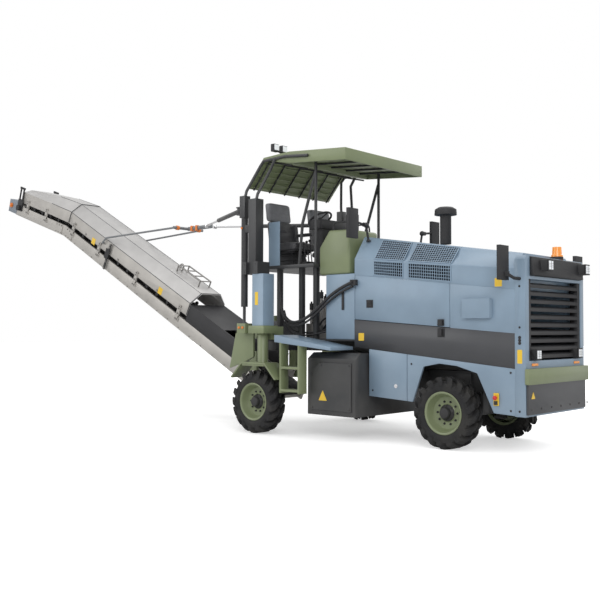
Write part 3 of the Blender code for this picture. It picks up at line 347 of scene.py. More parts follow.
def addPipe(name, points, radius, material, body, smooth=True):
    curve = bpy.data.curves.new(name, "CURVE")
    curve.dimensions = "3D"
    spline = curve.splines.new("NURBS" if smooth else "POLY")
    spline.points.add(len(points) - 1)
    for point, place in zip(spline.points, points):
        point.co = (*place, 1)
    if smooth:
        spline.use_endpoint_u = True
        spline.order_u = 4 if len(points) > 3 else 3
        spline.resolution_u = 6
    curve.bevel_depth, curve.bevel_resolution, curve.use_fill_caps = radius, 3, True
    piece = bpy.data.objects.new(name, curve)
    bpy.context.scene.collection.objects.link(piece)
    mesh = bpy.data.meshes.new_from_object(piece.evaluated_get(bpy.context.evaluated_depsgraph_get()))
    bpy.data.objects.remove(piece)
    bm = bmesh.new()
    bm.from_mesh(mesh)
    bmesh.ops.remove_doubles(bm, verts=bm.verts[:], dist=0.00005)
    return newPiece(name, meshFrom(bm, name), material, body)


# ---- the CAD pieces: what each is finished in, and how far its edges are rounded
nodeFinish = {
    "hood": ("bluePaint", 0.010), "engine_door": ("bluePaint", 0.005), "service_door": ("bluePaint", 0.005),
    "side_panel": ("bluePaint", 0.004), "front_cowl": ("bluePaint", 0.012), "fender": ("bluePaint", 0.005),
    "lift_column": ("bluePaint", 0.008), "walkway": ("bluePaint", 0.005), "valve_cabinet": ("bluePaint", 0.010),
    "tank": ("sagePaint", 0.030), "canopy": ("sagePaint", 0.010), "front_beam": ("sagePaint", 0.008),
    "conveyor_console": ("sagePaint", 0.006), "rear_leg": ("sagePaint", 0.006),
    "arm_barrel": ("darkPaint", 0.002), "arm_rod": ("rodChrome", 0.002), "canopy_post": ("darkPaint", 0.004),
    "operator_platform": ("darkPaint", 0.004), "drum_housing": ("darkPaint", 0.008), "scraper_door": ("darkPaint", 0.003),
    "main_frame": ("darkPaint", 0.006), "deck_plate": ("treadPlate", 0.003), "front_axle": ("darkPaint", 0.005),
    "knuckle": ("darkPaint", 0.004), "stay_frame": ("stayGrey", 0.003), "control_console": ("blackPlastic", 0.008),
    "steering_wheel": ("blackPlastic", 0.0), "rear_mirror": ("blackPlastic", 0.010), "hood_grille": ("punched", 0.0),
    "front_grille": ("blackPlastic", 0.002), "exhaust_stack": ("blackPlastic", 0.003), "feed_hood": ("blackPlastic", 0.004),
    "engine_block": ("castMetal", 0.02), "milling_drum": ("castMetal", 0.004), "conveyor_cover": ("cover", 0.006),
    "conveyor_frame": ("stainless", 0.003), "wheel": ("tyre", 0.0), "conveyor_belt": ("belt", 0.0),
    "seat": ("seat", 0.02), "beacon": ("amberLens", 0.006), "lamp_panel": ("blackPlastic", 0.006),
}


def dressNodes():
    for name, node in nodes.items():
        key = max((k for k in nodeFinish if name.startswith(k)), key=len)
        material, rounding = nodeFinish[key]
        node.data.materials.clear()
        node.data.materials.append(materials[material])
        weld = node.modifiers.new("Weld", "WELD")
        weld.merge_threshold = 0.00005
        if rounding:
            bevel = node.modifiers.new("Bevel", "BEVEL")
            bevel.width, bevel.segments = rounding, 2
            bevel.limit_method, bevel.angle_limit = "ANGLE", math.radians(32)
        node.data.shade_smooth()
        node.data.set_sharp_from_angle(angle=math.radians(33))
    print("CAD pieces dressed")


dressNodes()


# ---- wheels
tyre = {"radius": 0.400, "carcass": 0.352, "half": 0.112, "beadRadius": 0.232, "lugs": 17, "lugLength": 0.074}
rim = {"lipRadius": 0.236, "dishRadius": 0.196, "holes": 10, "boltCircle": 0.128}


def spinProfile(bm, profile, centre, side, steps):
    # profile of (radius, distance outwards), turned about the wheel's axle
    points = [bm.verts.new(centre + Vector((0, side * y, r))) for r, y in profile]
    edges = [bm.edges.new((a, b)) for a, b in zip(points, points[1:] + points[:1])]
    bmesh.ops.spin(bm, geom=points + edges, cent=centre, axis=(0, 1, 0), dvec=(0, 0, 0),
                   angle=math.tau, steps=steps, use_merge=True)
    bmesh.ops.remove_doubles(bm, verts=bm.verts[:], dist=0.00005)


def addLug(bm, centre, side, angle, hand):
    # one slanted block from the crown over the shoulder
    made = bmesh.ops.create_cube(bm, size=1)["verts"]
    bmesh.ops.subdivide_edges(bm, edges=list({e for v in made for e in v.link_edges}), cuts=2, use_grid_fill=True)
    bm.verts.ensure_lookup_table()
    made = [v for v in bm.verts if not v.tag]
    for v in made:
        x, y, z = v.co
        across = 0.004 + (y + 0.5) * (tyre["half"] + 0.004)
        over = max(0.0, across - tyre["half"] * 0.72) / (tyre["half"] * 0.31)
        taper = 1 - 0.18 * (z + 0.5)
        outer = tyre["radius"] - 0.030 * over ** 2 if z > 0 else tyre["carcass"] - 0.010 - 0.030 * over ** 2
        if abs(z) < 0.3:
            outer = tyre["radius"] - 0.012 - 0.030 * over ** 2
        turn = angle + x * taper * tyre["lugLength"] / tyre["radius"] + hand * across * 2.6
        v.co = centre + Vector((math.sin(turn) * outer, hand * side * across, math.cos(turn) * outer))
        v.tag = True


def buildWheel(label, centre, side, bore, body):
    bm = bmesh.new()
    half, carcass, bead = tyre["half"], tyre["carcass"], tyre["beadRadius"]
    profile = [(bead, half * 0.80), (0.262, half * 1.0), (0.300, half * 1.03), (0.326, half * 1.0),
               (carcass - 0.014, half * 0.84), (carcass, half * 0.58), (carcass, -half * 0.58),
               (carcass - 0.014, -half * 0.84), (0.326, -half), (0.300, -half * 1.03),
               (0.262, -half), (bead, -half * 0.80), (bead - 0.014, -half * 0.7), (bead - 0.014, half * 0.7)]
    spinProfile(bm, profile, centre, side, 64)
    for v in bm.verts:
        v.tag = True
    step = math.tau / tyre["lugs"]
    for i in range(tyre["lugs"]):
        addLug(bm, centre, side, i * step, 1)
        addLug(bm, centre, side, (i + 0.5) * step, -1)
    shell = newPiece("tyre_" + label, meshFrom(bm, "tyre_" + label), "tyre", body)
    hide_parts("wheel_" + label)

    bm = bmesh.new()
    lip, dish = rim["lipRadius"], rim["dishRadius"]
    profile = [(lip, half * 0.80), (lip + 0.004, half * 0.90), (lip - 0.004, half * 0.93), (0.216, half * 0.86),
               (0.204, half * 0.62), (dish, half * 0.26), (dish - 0.018, 0.006), (0.105, 0.000), (0.092, 0.010),
               (0.086, 0.010), (0.086, -0.006), (0.105, -0.012), (dish - 0.012, -0.006), (dish + 0.008, half * 0.22),
               (0.213, half * 0.56), (0.213, -half * 0.70), (lip, -half * 0.80), (lip, -half * 0.90),
               (0.206, -half * 0.74), (0.2165, -half * 0.66), (0.2175, half * 0.70)]
    spinProfile(bm, profile[:16] + profile[16:19] + [(0.2175, -half * 0.70), (0.2175, half * 0.74)], centre, side, 48)
    ring = newPiece("rim_" + label, meshFrom(bm, "rim_" + label), "sagePaint", body, 0.0)

    bm = bmesh.new()
    profile = [(0.0, 0.063), (bore, 0.063), (bore, -0.004), (0.094, -0.004), (0.094, 0.016), (0.082, 0.024),
               (0.072, 0.030), (0.066, 0.036), (0.062, 0.072), (0.055, 0.082), (0.040, 0.086), (0.0, 0.087)]
    spinProfile(bm, profile, centre, side, 36)
    for i in range(8):
        turn = math.tau * i / 8
        place = centre + Vector((math.sin(turn) * 0.081, side * 0.022, math.cos(turn) * 0.081))
        addBolt(bm, place, (0, side, 0), 0.008, 0.012)
    for i in range(rim["holes"]):
        turn = math.tau * (i + 0.5) / rim["holes"]
        out = Vector((math.sin(turn), 0, math.cos(turn)))
        addBolt(bm, centre + out * rim["boltCircle"] + Vector((0, side * 0.001, 0)), (0, side, 0), 0.010, 0.018)
    addRod(bm, centre + Vector((0.155, side * 0.004, 0.02)), centre + Vector((0.185, side * 0.055, 0.02)), 0.004, 8)
    hub = newPiece("hub_" + label, meshFrom(bm, "hub_" + label), "blackPlastic", body, 0.0015)


for label, side in (("left", 1), ("right", -1)):
    for end, bore in (("front", 0.0365), ("rear", 0.0415)):
        low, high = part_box("wheel_%s_%s" % (end, label))
        buildWheel("%s_%s" % (end, label), (low + high) / 2, side, bore, "wheel_%s_%s" % (end, label))
print("wheels made")


# ---- colours by part of a piece
bodyLines = {  # height over the front axle, and slope per metre forwards
    "skirtBottom": (0.472, -0.0545), "bandBottom": (0.994, -0.0907), "bandTop": (1.349, -0.072),
    "seam": (1.844, -0.111), "ridge": (2.053, -0.1015), "top": (2.275, -0.152), "canopy": (3.44, -0.083),
}
bodyHalf, topHalf = 0.70, 0.50


def lineHeight(name, x):
    base, slope = bodyLines[name]
    return base + slope * x


def tintFaces(nodeName, material, chosen):
    # a second finish on the faces whose middles pass the test
    mesh = nodes[nodeName].data
    mesh.materials.append(materials[material])
    index = len(mesh.materials) - 1
    for face in mesh.polygons:
        middle = face.center - Vector((shift, 0, 0))
        if chosen(middle.x, middle.y, middle.z):
            face.material_index = index


for label in ("left", "right"):
    tintFaces("side_panel_" + label, "bandPaint",
              lambda x, y, z: lineHeight("bandBottom", x) + 0.0 < z < lineHeight("bandTop", x) - 0.0 and x < 0.86)
    tintFaces("walkway_" + label, "sagePaint", lambda x, y, z: abs(y) > 0.985 and z < 1.10 and -2.17 < x < -1.81)
    tintFaces("canopy_post_" + label, "sagePaint", lambda x, y, z: z < 1.41)
    tintFaces("lift_column_" + label, "sagePaint", lambda x, y, z: z < 1.375)
for label in ("left", "right"):
    tintFaces("rear_leg_" + label, "darkPaint", lambda x, y, z: abs(y) < 0.945 and z < 0.853)
tintFaces("main_frame", "sagePaint", lambda x, y, z: abs(y) > 0.902)
for label in ("main", "head"):   # flanks get a darker, warmer copy of the sheet than the slopes
    tintFaces("conveyor_cover_" + label, "stainless", lambda x, y, z: abs(y) > 0.3495)
tintFaces("conveyor_frame", "headBox", lambda x, y, z: x < -10.10)
tintFaces("canopy", "blackPlastic", lambda x, y, z: z > lineHeight("canopy", x) + 0.005 and x < -2.5)
tintFaces("front_cowl", "blackPlastic", lambda x, y, z: abs(y) > 0.705)
tintFaces("front_beam", "bandPaint", lambda x, y, z: z < 0.752 or abs(x - 0.995) < 0.004)
print("second finishes set")


# ---- panels: punched vents, seams' hardware, plates
ventRows = {"spans": ((-1.00, -0.58), (-0.50, 0.07)), "flank": (0.012, 0.020), "slope": (0.06, 0.93), "proud": 0.0015,
            "bar": 0.0042, "pitch": 0.030, "frame": 0.008}


def slopePoint(x, share, side, lift=0.0):
    # a point on the hood's slope, from its ridge (0) to its top (1)
    low = Vector((x, side * bodyHalf, lineHeight("ridge", x)))
    high = Vector((x, side * topHalf, lineHeight("top", x)))
    normal = Vector((0, side * (high.z - low.z), bodyHalf - topHalf)).normalized()
    return low.lerp(high, share) + normal * lift + Vector((shift, 0, 0))


def flankPoint(x, share, side, lift=0.0):
    low, high = lineHeight("seam", x) + 0.022, lineHeight("ridge", x) - 0.010
    return at(x, side * (bodyHalf + lift), low + (high - low) * share)


def buildVents():
    s = ventRows
    for label, side in (("left", 1), ("right", -1)):
        # the dark faces under the bars are painted shade in the vents' openings
        dark, bars = bmesh.new(), bmesh.new()
        for start, end in s["spans"]:
            for place, low, high in ((flankPoint, 0.0, 1.0), (slopePoint, s["slope"][0], s["slope"][1])):
                corners = [place(x, share, side, s["proud"]) for x, share in
                           ((start, low), (end, low), (end, high), (start, high))]
                dark.faces.new([dark.verts.new(p) for p in corners])
                across = int((end - start) / s["pitch"])
                up = max(3, int((corners[3] - corners[0]).length / s["pitch"]))
                for i in range(across + 1):
                    x = start + (end - start) * i / across
                    thick = s["frame"] if i in (0, across) else s["bar"]
                    addRod(bars, place(x, low, side, 0.003), place(x, high, side, 0.003), thick, 6)
                for j in range(up + 1):
                    share = low + (high - low) * j / up
                    thick = s["frame"] if j in (0, up) else s["bar"]
                    addRod(bars, place(start, share, side, 0.003), place(end, share, side, 0.003), thick, 6)
        bmesh.ops.solidify(dark, geom=dark.faces[:], thickness=-0.001)
        back = newPiece("ventOpeningShade_" + label, meshFrom(dark, "ventOpeningShade"), "blackPlastic", "chassis", 0, False)
        grid = newPiece("ventGrid_" + label, meshFrom(bars, "ventGrid"), "bluePaint", "chassis")


buildVents()
print("vents made")


# ---- small fittings on the body
def boxPiece(name, low, high, material, body, bevel=0.003):
    bm = bmesh.new()
    addBox(bm, at(*low), at(*high))
    piece = newPiece(name, meshFrom(bm, name), material, body, bevel)
    return piece


plates = {  # plain yellow plates: middle, half width along, half height, the way it faces, body, corners
    "plateBand": ((-1.195, -0.7008, 1.235), 0.042, 0.046, "right", "chassis", 4),
    "platePanel": ((0.66, -0.7008, 1.830), 0.043, 0.046, "right", "chassis", 4),
    "platePillar": ((0.905, -0.7008, 1.045), 0.028, 0.072, "right", "chassis", 4),
    "plateBeam": ((0.9958, -0.585, 0.63), 0.045, 0.045, "front", "chassis", 3),
    "plateHousing": ((-1.60, -0.9448, 0.50), 0.070, 0.075, "right", "chassis", 3),
    "plateColumn": ((-2.60, -1.1008, 1.72), 0.028, 0.085, "right", "chassis", 4),
    "plateColumnLeft": ((-2.60, 1.1008, 1.72), 0.028, 0.085, "left", "chassis", 4),
    "plateBandLeft": ((-1.195, 0.7008, 1.235), 0.042, 0.046, "left", "chassis", 4),
    "plateHousingLeft": ((-1.53, 0.6008, 0.50), 0.070, 0.075, "left", "chassis", 3),
}


def buildPlates():
    for name, (middle, halfWide, halfHigh, facing, body, corners) in plates.items():
        bm = bmesh.new()
        made = bmesh.ops.create_cone(bm, cap_ends=True, segments=corners, radius1=1, radius2=1, depth=0.0012)["verts"]
        turn = math.radians(45) if corners == 4 else 0.0
        spread = math.sqrt(2) if corners == 4 else 1.1
        bmesh.ops.rotate(bm, verts=made, cent=(0, 0, 0), matrix=Matrix.Rotation(turn, 3, "Z"))
        for v in made:
            x, y = round(v.co.x * spread, 4) * halfWide, round(v.co.y * spread, 4) * halfHigh
            out = {"right": (x, -v.co.z, y), "left": (-x, v.co.z, y), "front": (v.co.z, x, y)}[facing]
            v.co = Vector(out)
        bmesh.ops.translate(bm, vec=at(*middle), verts=made)
        edges = [e for e in bm.edges if e.calc_length() < 0.002]
        bmesh.ops.bevel(bm, geom=edges, offset=0.008, segments=3, profile=0.5, affect="EDGES", material=-1)
        newPiece(name, meshFrom(bm, name), "yellowPlate", body)


def buildLatches():
    for label, side in (("Right", -1), ("Left", 1)):
        door = "engine_door_" + label.lower()
        face = side * 0.7003

        def slab(bm, x0, x1, z0, z1, depth, start=0.0):
            ys = sorted((face + side * start, face + side * (start + depth)))
            return addBox(bm, at(x0, ys[0], z0), at(x1, ys[1], z1))

        bm = bmesh.new()   # paddle latch: flange, dished cup, paddle
        slab(bm, -1.115, -1.015, 1.585, 1.680, 0.006)
        slab(bm, -1.100, -1.030, 1.600, 1.665, 0.012)
        slab(bm, -1.094, -1.036, 1.632, 1.661, 0.007, 0.0125)
        newPiece("paddleLatch" + label, meshFrom(bm, "latch"), "blackPlastic", door, 0.0025)
        bm = bmesh.new()   # over-centre hasp: upper half on the door
        slab(bm, -0.100, -0.015, 1.366, 1.440, 0.010)
        slab(bm, -0.085, -0.030, 1.375, 1.430, 0.020, 0.010)
        addRod(bm, at(-0.092, face + side * 0.022, 1.385), at(-0.023, face + side * 0.022, 1.385), 0.007, 10)
        newPiece("haspUpper" + label, meshFrom(bm, "hasp"), "blackPlastic", door, 0.002)
        bm = bmesh.new()   # lower half on the band
        slab(bm, -0.100, -0.015, 1.245, 1.340, 0.010)
        slab(bm, -0.080, -0.035, 1.255, 1.332, 0.018, 0.010)
        addBolt(bm, at(-0.092, face + side * 0.010, 1.252), (0, side, 0), 0.004, 0.004)
        addBolt(bm, at(-0.023, face + side * 0.010, 1.252), (0, side, 0), 0.004, 0.004)
        newPiece("haspLower" + label, meshFrom(bm, "hasp"), "blackPlastic", "chassis", 0.002)
        bm = bmesh.new()   # round key lock on the service door
        addRod(bm, at(-0.68, face, 0.665), at(-0.68, face + side * 0.006, 0.665), 0.024, 24)
        addRod(bm, at(-0.68, face + side * 0.006, 0.665), at(-0.68, face + side * 0.011, 0.665), 0.014, 20)
        addBox(bm, at(-0.683, min(face + side * 0.011, face + side * 0.013), 0.657),
               at(-0.677, max(face + side * 0.011, face + side * 0.013), 0.673))
        newPiece("keyLock" + label, meshFrom(bm, "lock"), "rodChrome", "service_door_" + label.lower(), 0.001)
        bm = bmesh.new()   # hand hole in the pillar
        # black discs: painted shade in the hole's opening
        for z in (1.185, 1.215, 1.245):
            addRod(bm, at(0.905, face, z), at(0.905, face + side * 0.003, z), 0.017, 20)
        newPiece("handHoleShade" + label, meshFrom(bm, "handHoleShade"), "blackPlastic", "chassis")
        bm = bmesh.new()   # emergency stop: yellow base, black collar, red mushroom
        slab(bm, 0.600, 0.665, 0.520, 0.655, 0.014)
        newPiece("stopBase" + label, meshFrom(bm, "stopBase"), "yellowPlate", "chassis", 0.006)
        bm = bmesh.new()
        profile = [(0.0, 0.047), (0.014, 0.047), (0.024, 0.042), (0.025, 0.036), (0.016, 0.032), (0.015, 0.015), (0, 0.015)]
        spinUp(bm, profile, at(0.632, face, 0.605), (0, side, 0), 24)
        newPiece("stopButton" + label, meshFrom(bm, "stopButton"), "redPlastic", "chassis")
        bm = bmesh.new()
        slab(bm, 0.612, 0.653, 0.530, 0.570, 0.010, 0.0143)
        newPiece("stopSwitch" + label, meshFrom(bm, "stopSwitch"), "blackPlastic", "chassis", 0.003)
        bm = bmesh.new()   # panel screws along the skirt and the pillar
        for x, z in ((0.80, 0.475), (0.90, 0.475), (-0.46, 0.93), (0.80, 0.875), (-1.02, 0.60), (0.905, 1.78), (0.905, 1.35)):
            addBolt(bm, at(x, face, z), (0, side, 0), 0.009, 0.006)
        newPiece("panelScrews" + label, meshFrom(bm, "panelScrews"), "blackPlastic", "chassis")


def spinUp(bm, profile, base, axis, steps):
    # profile of (radius, height) turned about a line through base
    axis = Vector(axis).normalized()
    across = axis.orthogonal().normalized()
    points = [bm.verts.new(base + across * r + axis * h) for r, h in profile]
    edges = [bm.edges.new(pair) for pair in zip(points, points[1:])]
    bmesh.ops.spin(bm, geom=points + edges, cent=base, axis=axis, dvec=(0, 0, 0), angle=math.tau, steps=steps,
                   use_merge=True)
    bmesh.ops.remove_doubles(bm, verts=bm.verts[:], dist=0.00005)


def buildLamps():
    housing, lens, amber = bmesh.new(), bmesh.new(), bmesh.new()
    for y, z, x, half in ((-0.50, 1.065, 1.02, 0.048), (0.50, 1.065, 1.02, 0.048),
                          (-0.36, 2.01, 1.09, 0.052), (0.55, 2.01, 1.09, 0.052)):
        addBox(housing, at(x - 0.012, y - half - 0.008, z - half - 0.008), at(x + 0.002, y + half + 0.008, z + half + 0.008))
        addBox(lens, at(x + 0.0023, y - half + 0.006, z - half + 0.006), at(x + 0.008, y + half - 0.006, z + half - 0.006))
        for dy in (-0.5, 0.5):
            addBox(housing, at(x + 0.0085, y + dy * 0.001 - 0.002, z - half + 0.004),
                   at(x + 0.010, y + dy * 0.001 + 0.002, z + half - 0.004))
        for dz in (-0.018, 0.0, 0.018):
            addBox(housing, at(x + 0.0085, y - half + 0.004, z + dz - 0.001), at(x + 0.010, y + half - 0.004, z + dz + 0.001))
    for y in (-0.50, 0.50):
        addBox(amber, at(0.9705, y - 0.065, 0.945), at(0.980, y + 0.065, 0.972))
    newPiece("lampFrames", meshFrom(housing, "lampFrames"), "blackPlastic", "chassis", 0.0015)
    newPiece("lampLenses", meshFrom(lens, "lampLenses"), "whiteLens", "chassis", 0.002)
    newPiece("sideReflectors", meshFrom(amber, "sideReflectors"), "amberLens", "chassis", 0.003)
    base = bmesh.new()   # the beacon's collar
    low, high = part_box("beacon")
    middle = (low + high) / 2
    spinUp(base, [(0.052, 0.0), (0.069, 0.0), (0.069, 0.030), (0.064, 0.036), (0.0615, 0.036), (0.0615, 0.008), (0.052, 0.0)],
           Vector((middle.x, middle.y, low.z + 0.0005)), (0, 0, 1), 32)
    newPiece("beaconCollar", meshFrom(base, "beaconCollar"), "blackPlastic", "chassis")


buildPlates()
buildLatches()
buildLamps()
print("fittings made")


def plateAlong(name, outline, y0, y1, material, body, bevel=0.002):
    # an outline of (x, z) given width from y0 to y1
    bm = bmesh.new()
    face = bm.faces.new([bm.verts.new(at(x, y0, z)) for x, z in outline])
    grown = bmesh.ops.extrude_face_region(bm, geom=[face])["geom"]
    bmesh.ops.translate(bm, vec=(0, y1 - y0, 0), verts=[v for v in grown if isinstance(v, bmesh.types.BMVert)])
    piece = newPiece(name, meshFrom(bm, name), material, body, bevel)
    return piece


def meshPiece(name, bm, material, body, bevel=0.0):
    piece = newPiece(name, meshFrom(bm, name), material, body, bevel)
    return piece


sides = (("right", -1), ("left", 1))

# ---- seats: a padded base, a padded back with side wings, and a grey headrest
seat = {"x": -2.62, "y": 0.42, "floor": 2.1603, "lean": 0.13}


def padForm(name, low, high, material, node, crown, lean=0.0, grooves=()):
    # a rounded form, fuller in the middle, sides drawn in between the corners
    low, high = Vector(low), Vector(high)
    middle, half = (low + high) / 2, (high - low) / 2
    thin = min(range(3), key=lambda i: half[i])
    bm = bmesh.new()
    bmesh.ops.create_cube(bm, size=2)
    bmesh.ops.subdivide_edges(bm, edges=bm.edges[:], cuts=13, use_grid_fill=True)
    for v in bm.verts:
        size = sum(abs(c) ** 7 for c in v.co) ** (1 / 7)
        p = v.co / size
        flat = [i for i in range(3) if i != thin]
        swell = (1 - p[flat[0]] ** 2) * (1 - p[flat[1]] ** 2)
        place = Vector([p[i] * half[i] for i in range(3)])
        for a, b in (flat, flat[::-1]):
            place[a] *= 1 - 0.035 * (1 - p[b] ** 2)
        if p[thin] > 0:
            place[thin] += crown * swell
            for across, where, width in grooves:
                place[thin] -= 0.010 * math.exp(-((p[across] - where) / width) ** 2) * (1 - p[flat[0]] ** 6)
        seam = math.exp(-((p[thin] - 0.35) / 0.07) ** 2)
        for a in flat:
            place[a] *= 1 - 0.010 * seam
        place.x -= lean * (place.z + half.z)
        v.co = middle + place + Vector((shift, 0, 0))
    piece = newPiece(name, meshFrom(bm, name), material, "chassis")
    smooth = piece.modifiers.new("Subdivision", "SUBSURF")
    smooth.levels = smooth.render_levels = 1
    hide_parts(node)


def buildSeats():
    x, floor = seat["x"], seat["floor"]
    for label, side in sides:
        y, node = side * seat["y"], "seat_" + label
        padForm("seatCushion_" + label, (x - 0.19, y - 0.225, floor + 0.205), (x + 0.27, y + 0.225, floor + 0.315),
                "seat", node, 0.022, 0.0, ((1, -0.55, 0.06), (1, 0.55, 0.06), (0, -0.2, 0.06)))
        padForm("seatBack_" + label, (x - 0.22, y - 0.23, floor + 0.27), (x - 0.12, y + 0.23, floor + 0.63),
                "seat", node, 0.030, seat["lean"], ((2, -0.35, 0.07), (2, 0.30, 0.07)))
        padForm("seatHeadrest_" + label, (x - 0.285, y - 0.215, floor + 0.622), (x - 0.195, y + 0.215, floor + 0.885),
                "headrest", node, 0.016, seat["lean"], ((2, -0.1, 0.06),))
        for wing in (-1, 1):
            padForm("seatWing_%s_%s" % (label, "in" if wing == -side else "out"),
                    (x - 0.165, y + wing * 0.205 - 0.032, floor + 0.30), (x - 0.065, y + wing * 0.205 + 0.032, floor + 0.60),
                    "seat", node, 0.006, seat["lean"])
        bm = bmesh.new()   # suspension: plate, folded gaiter, plate, slides
        addBox(bm, at(x - 0.17, y - 0.16, floor + 0.001), at(x + 0.17, y + 0.16, floor + 0.020))
        for i in range(5):
            inset = 0.012 * (i % 2)
            low = floor + 0.020 + 0.030 * i
            addBox(bm, at(x - 0.15 + inset, y - 0.14 + inset, low), at(x + 0.15 - inset, y + 0.14 - inset, low + 0.030))
        addBox(bm, at(x - 0.18, y - 0.17, floor + 0.170), at(x + 0.18, y + 0.17, floor + 0.188))
        for wing in (-1, 1):
            addBox(bm, at(x - 0.20, y + wing * 0.14 - 0.018, floor + 0.188), at(x + 0.20, y + wing * 0.14 + 0.018, floor + 0.208))
            addRod(bm, at(x - 0.13, y + wing * 0.245, floor + 0.215), at(x - 0.13, y + wing * 0.215, floor + 0.215), 0.035, 20)
        addRod(bm, at(x + 0.10, y - 0.235, floor + 0.180), at(x + 0.27, y - 0.235, floor + 0.200), 0.008, 8)
        meshPiece("seatBase_" + label, bm, "blackPlastic", "chassis", 0.004)
        for wing in (-1, 1):   # folding armrest
            padForm("armrest_%s_%s" % (label, "in" if wing == -side else "out"),
                    (x - 0.13, y + wing * 0.255 - 0.022, floor + 0.435), (x + 0.14, y + wing * 0.255 + 0.022, floor + 0.478),
                    "seat", node, 0.004)


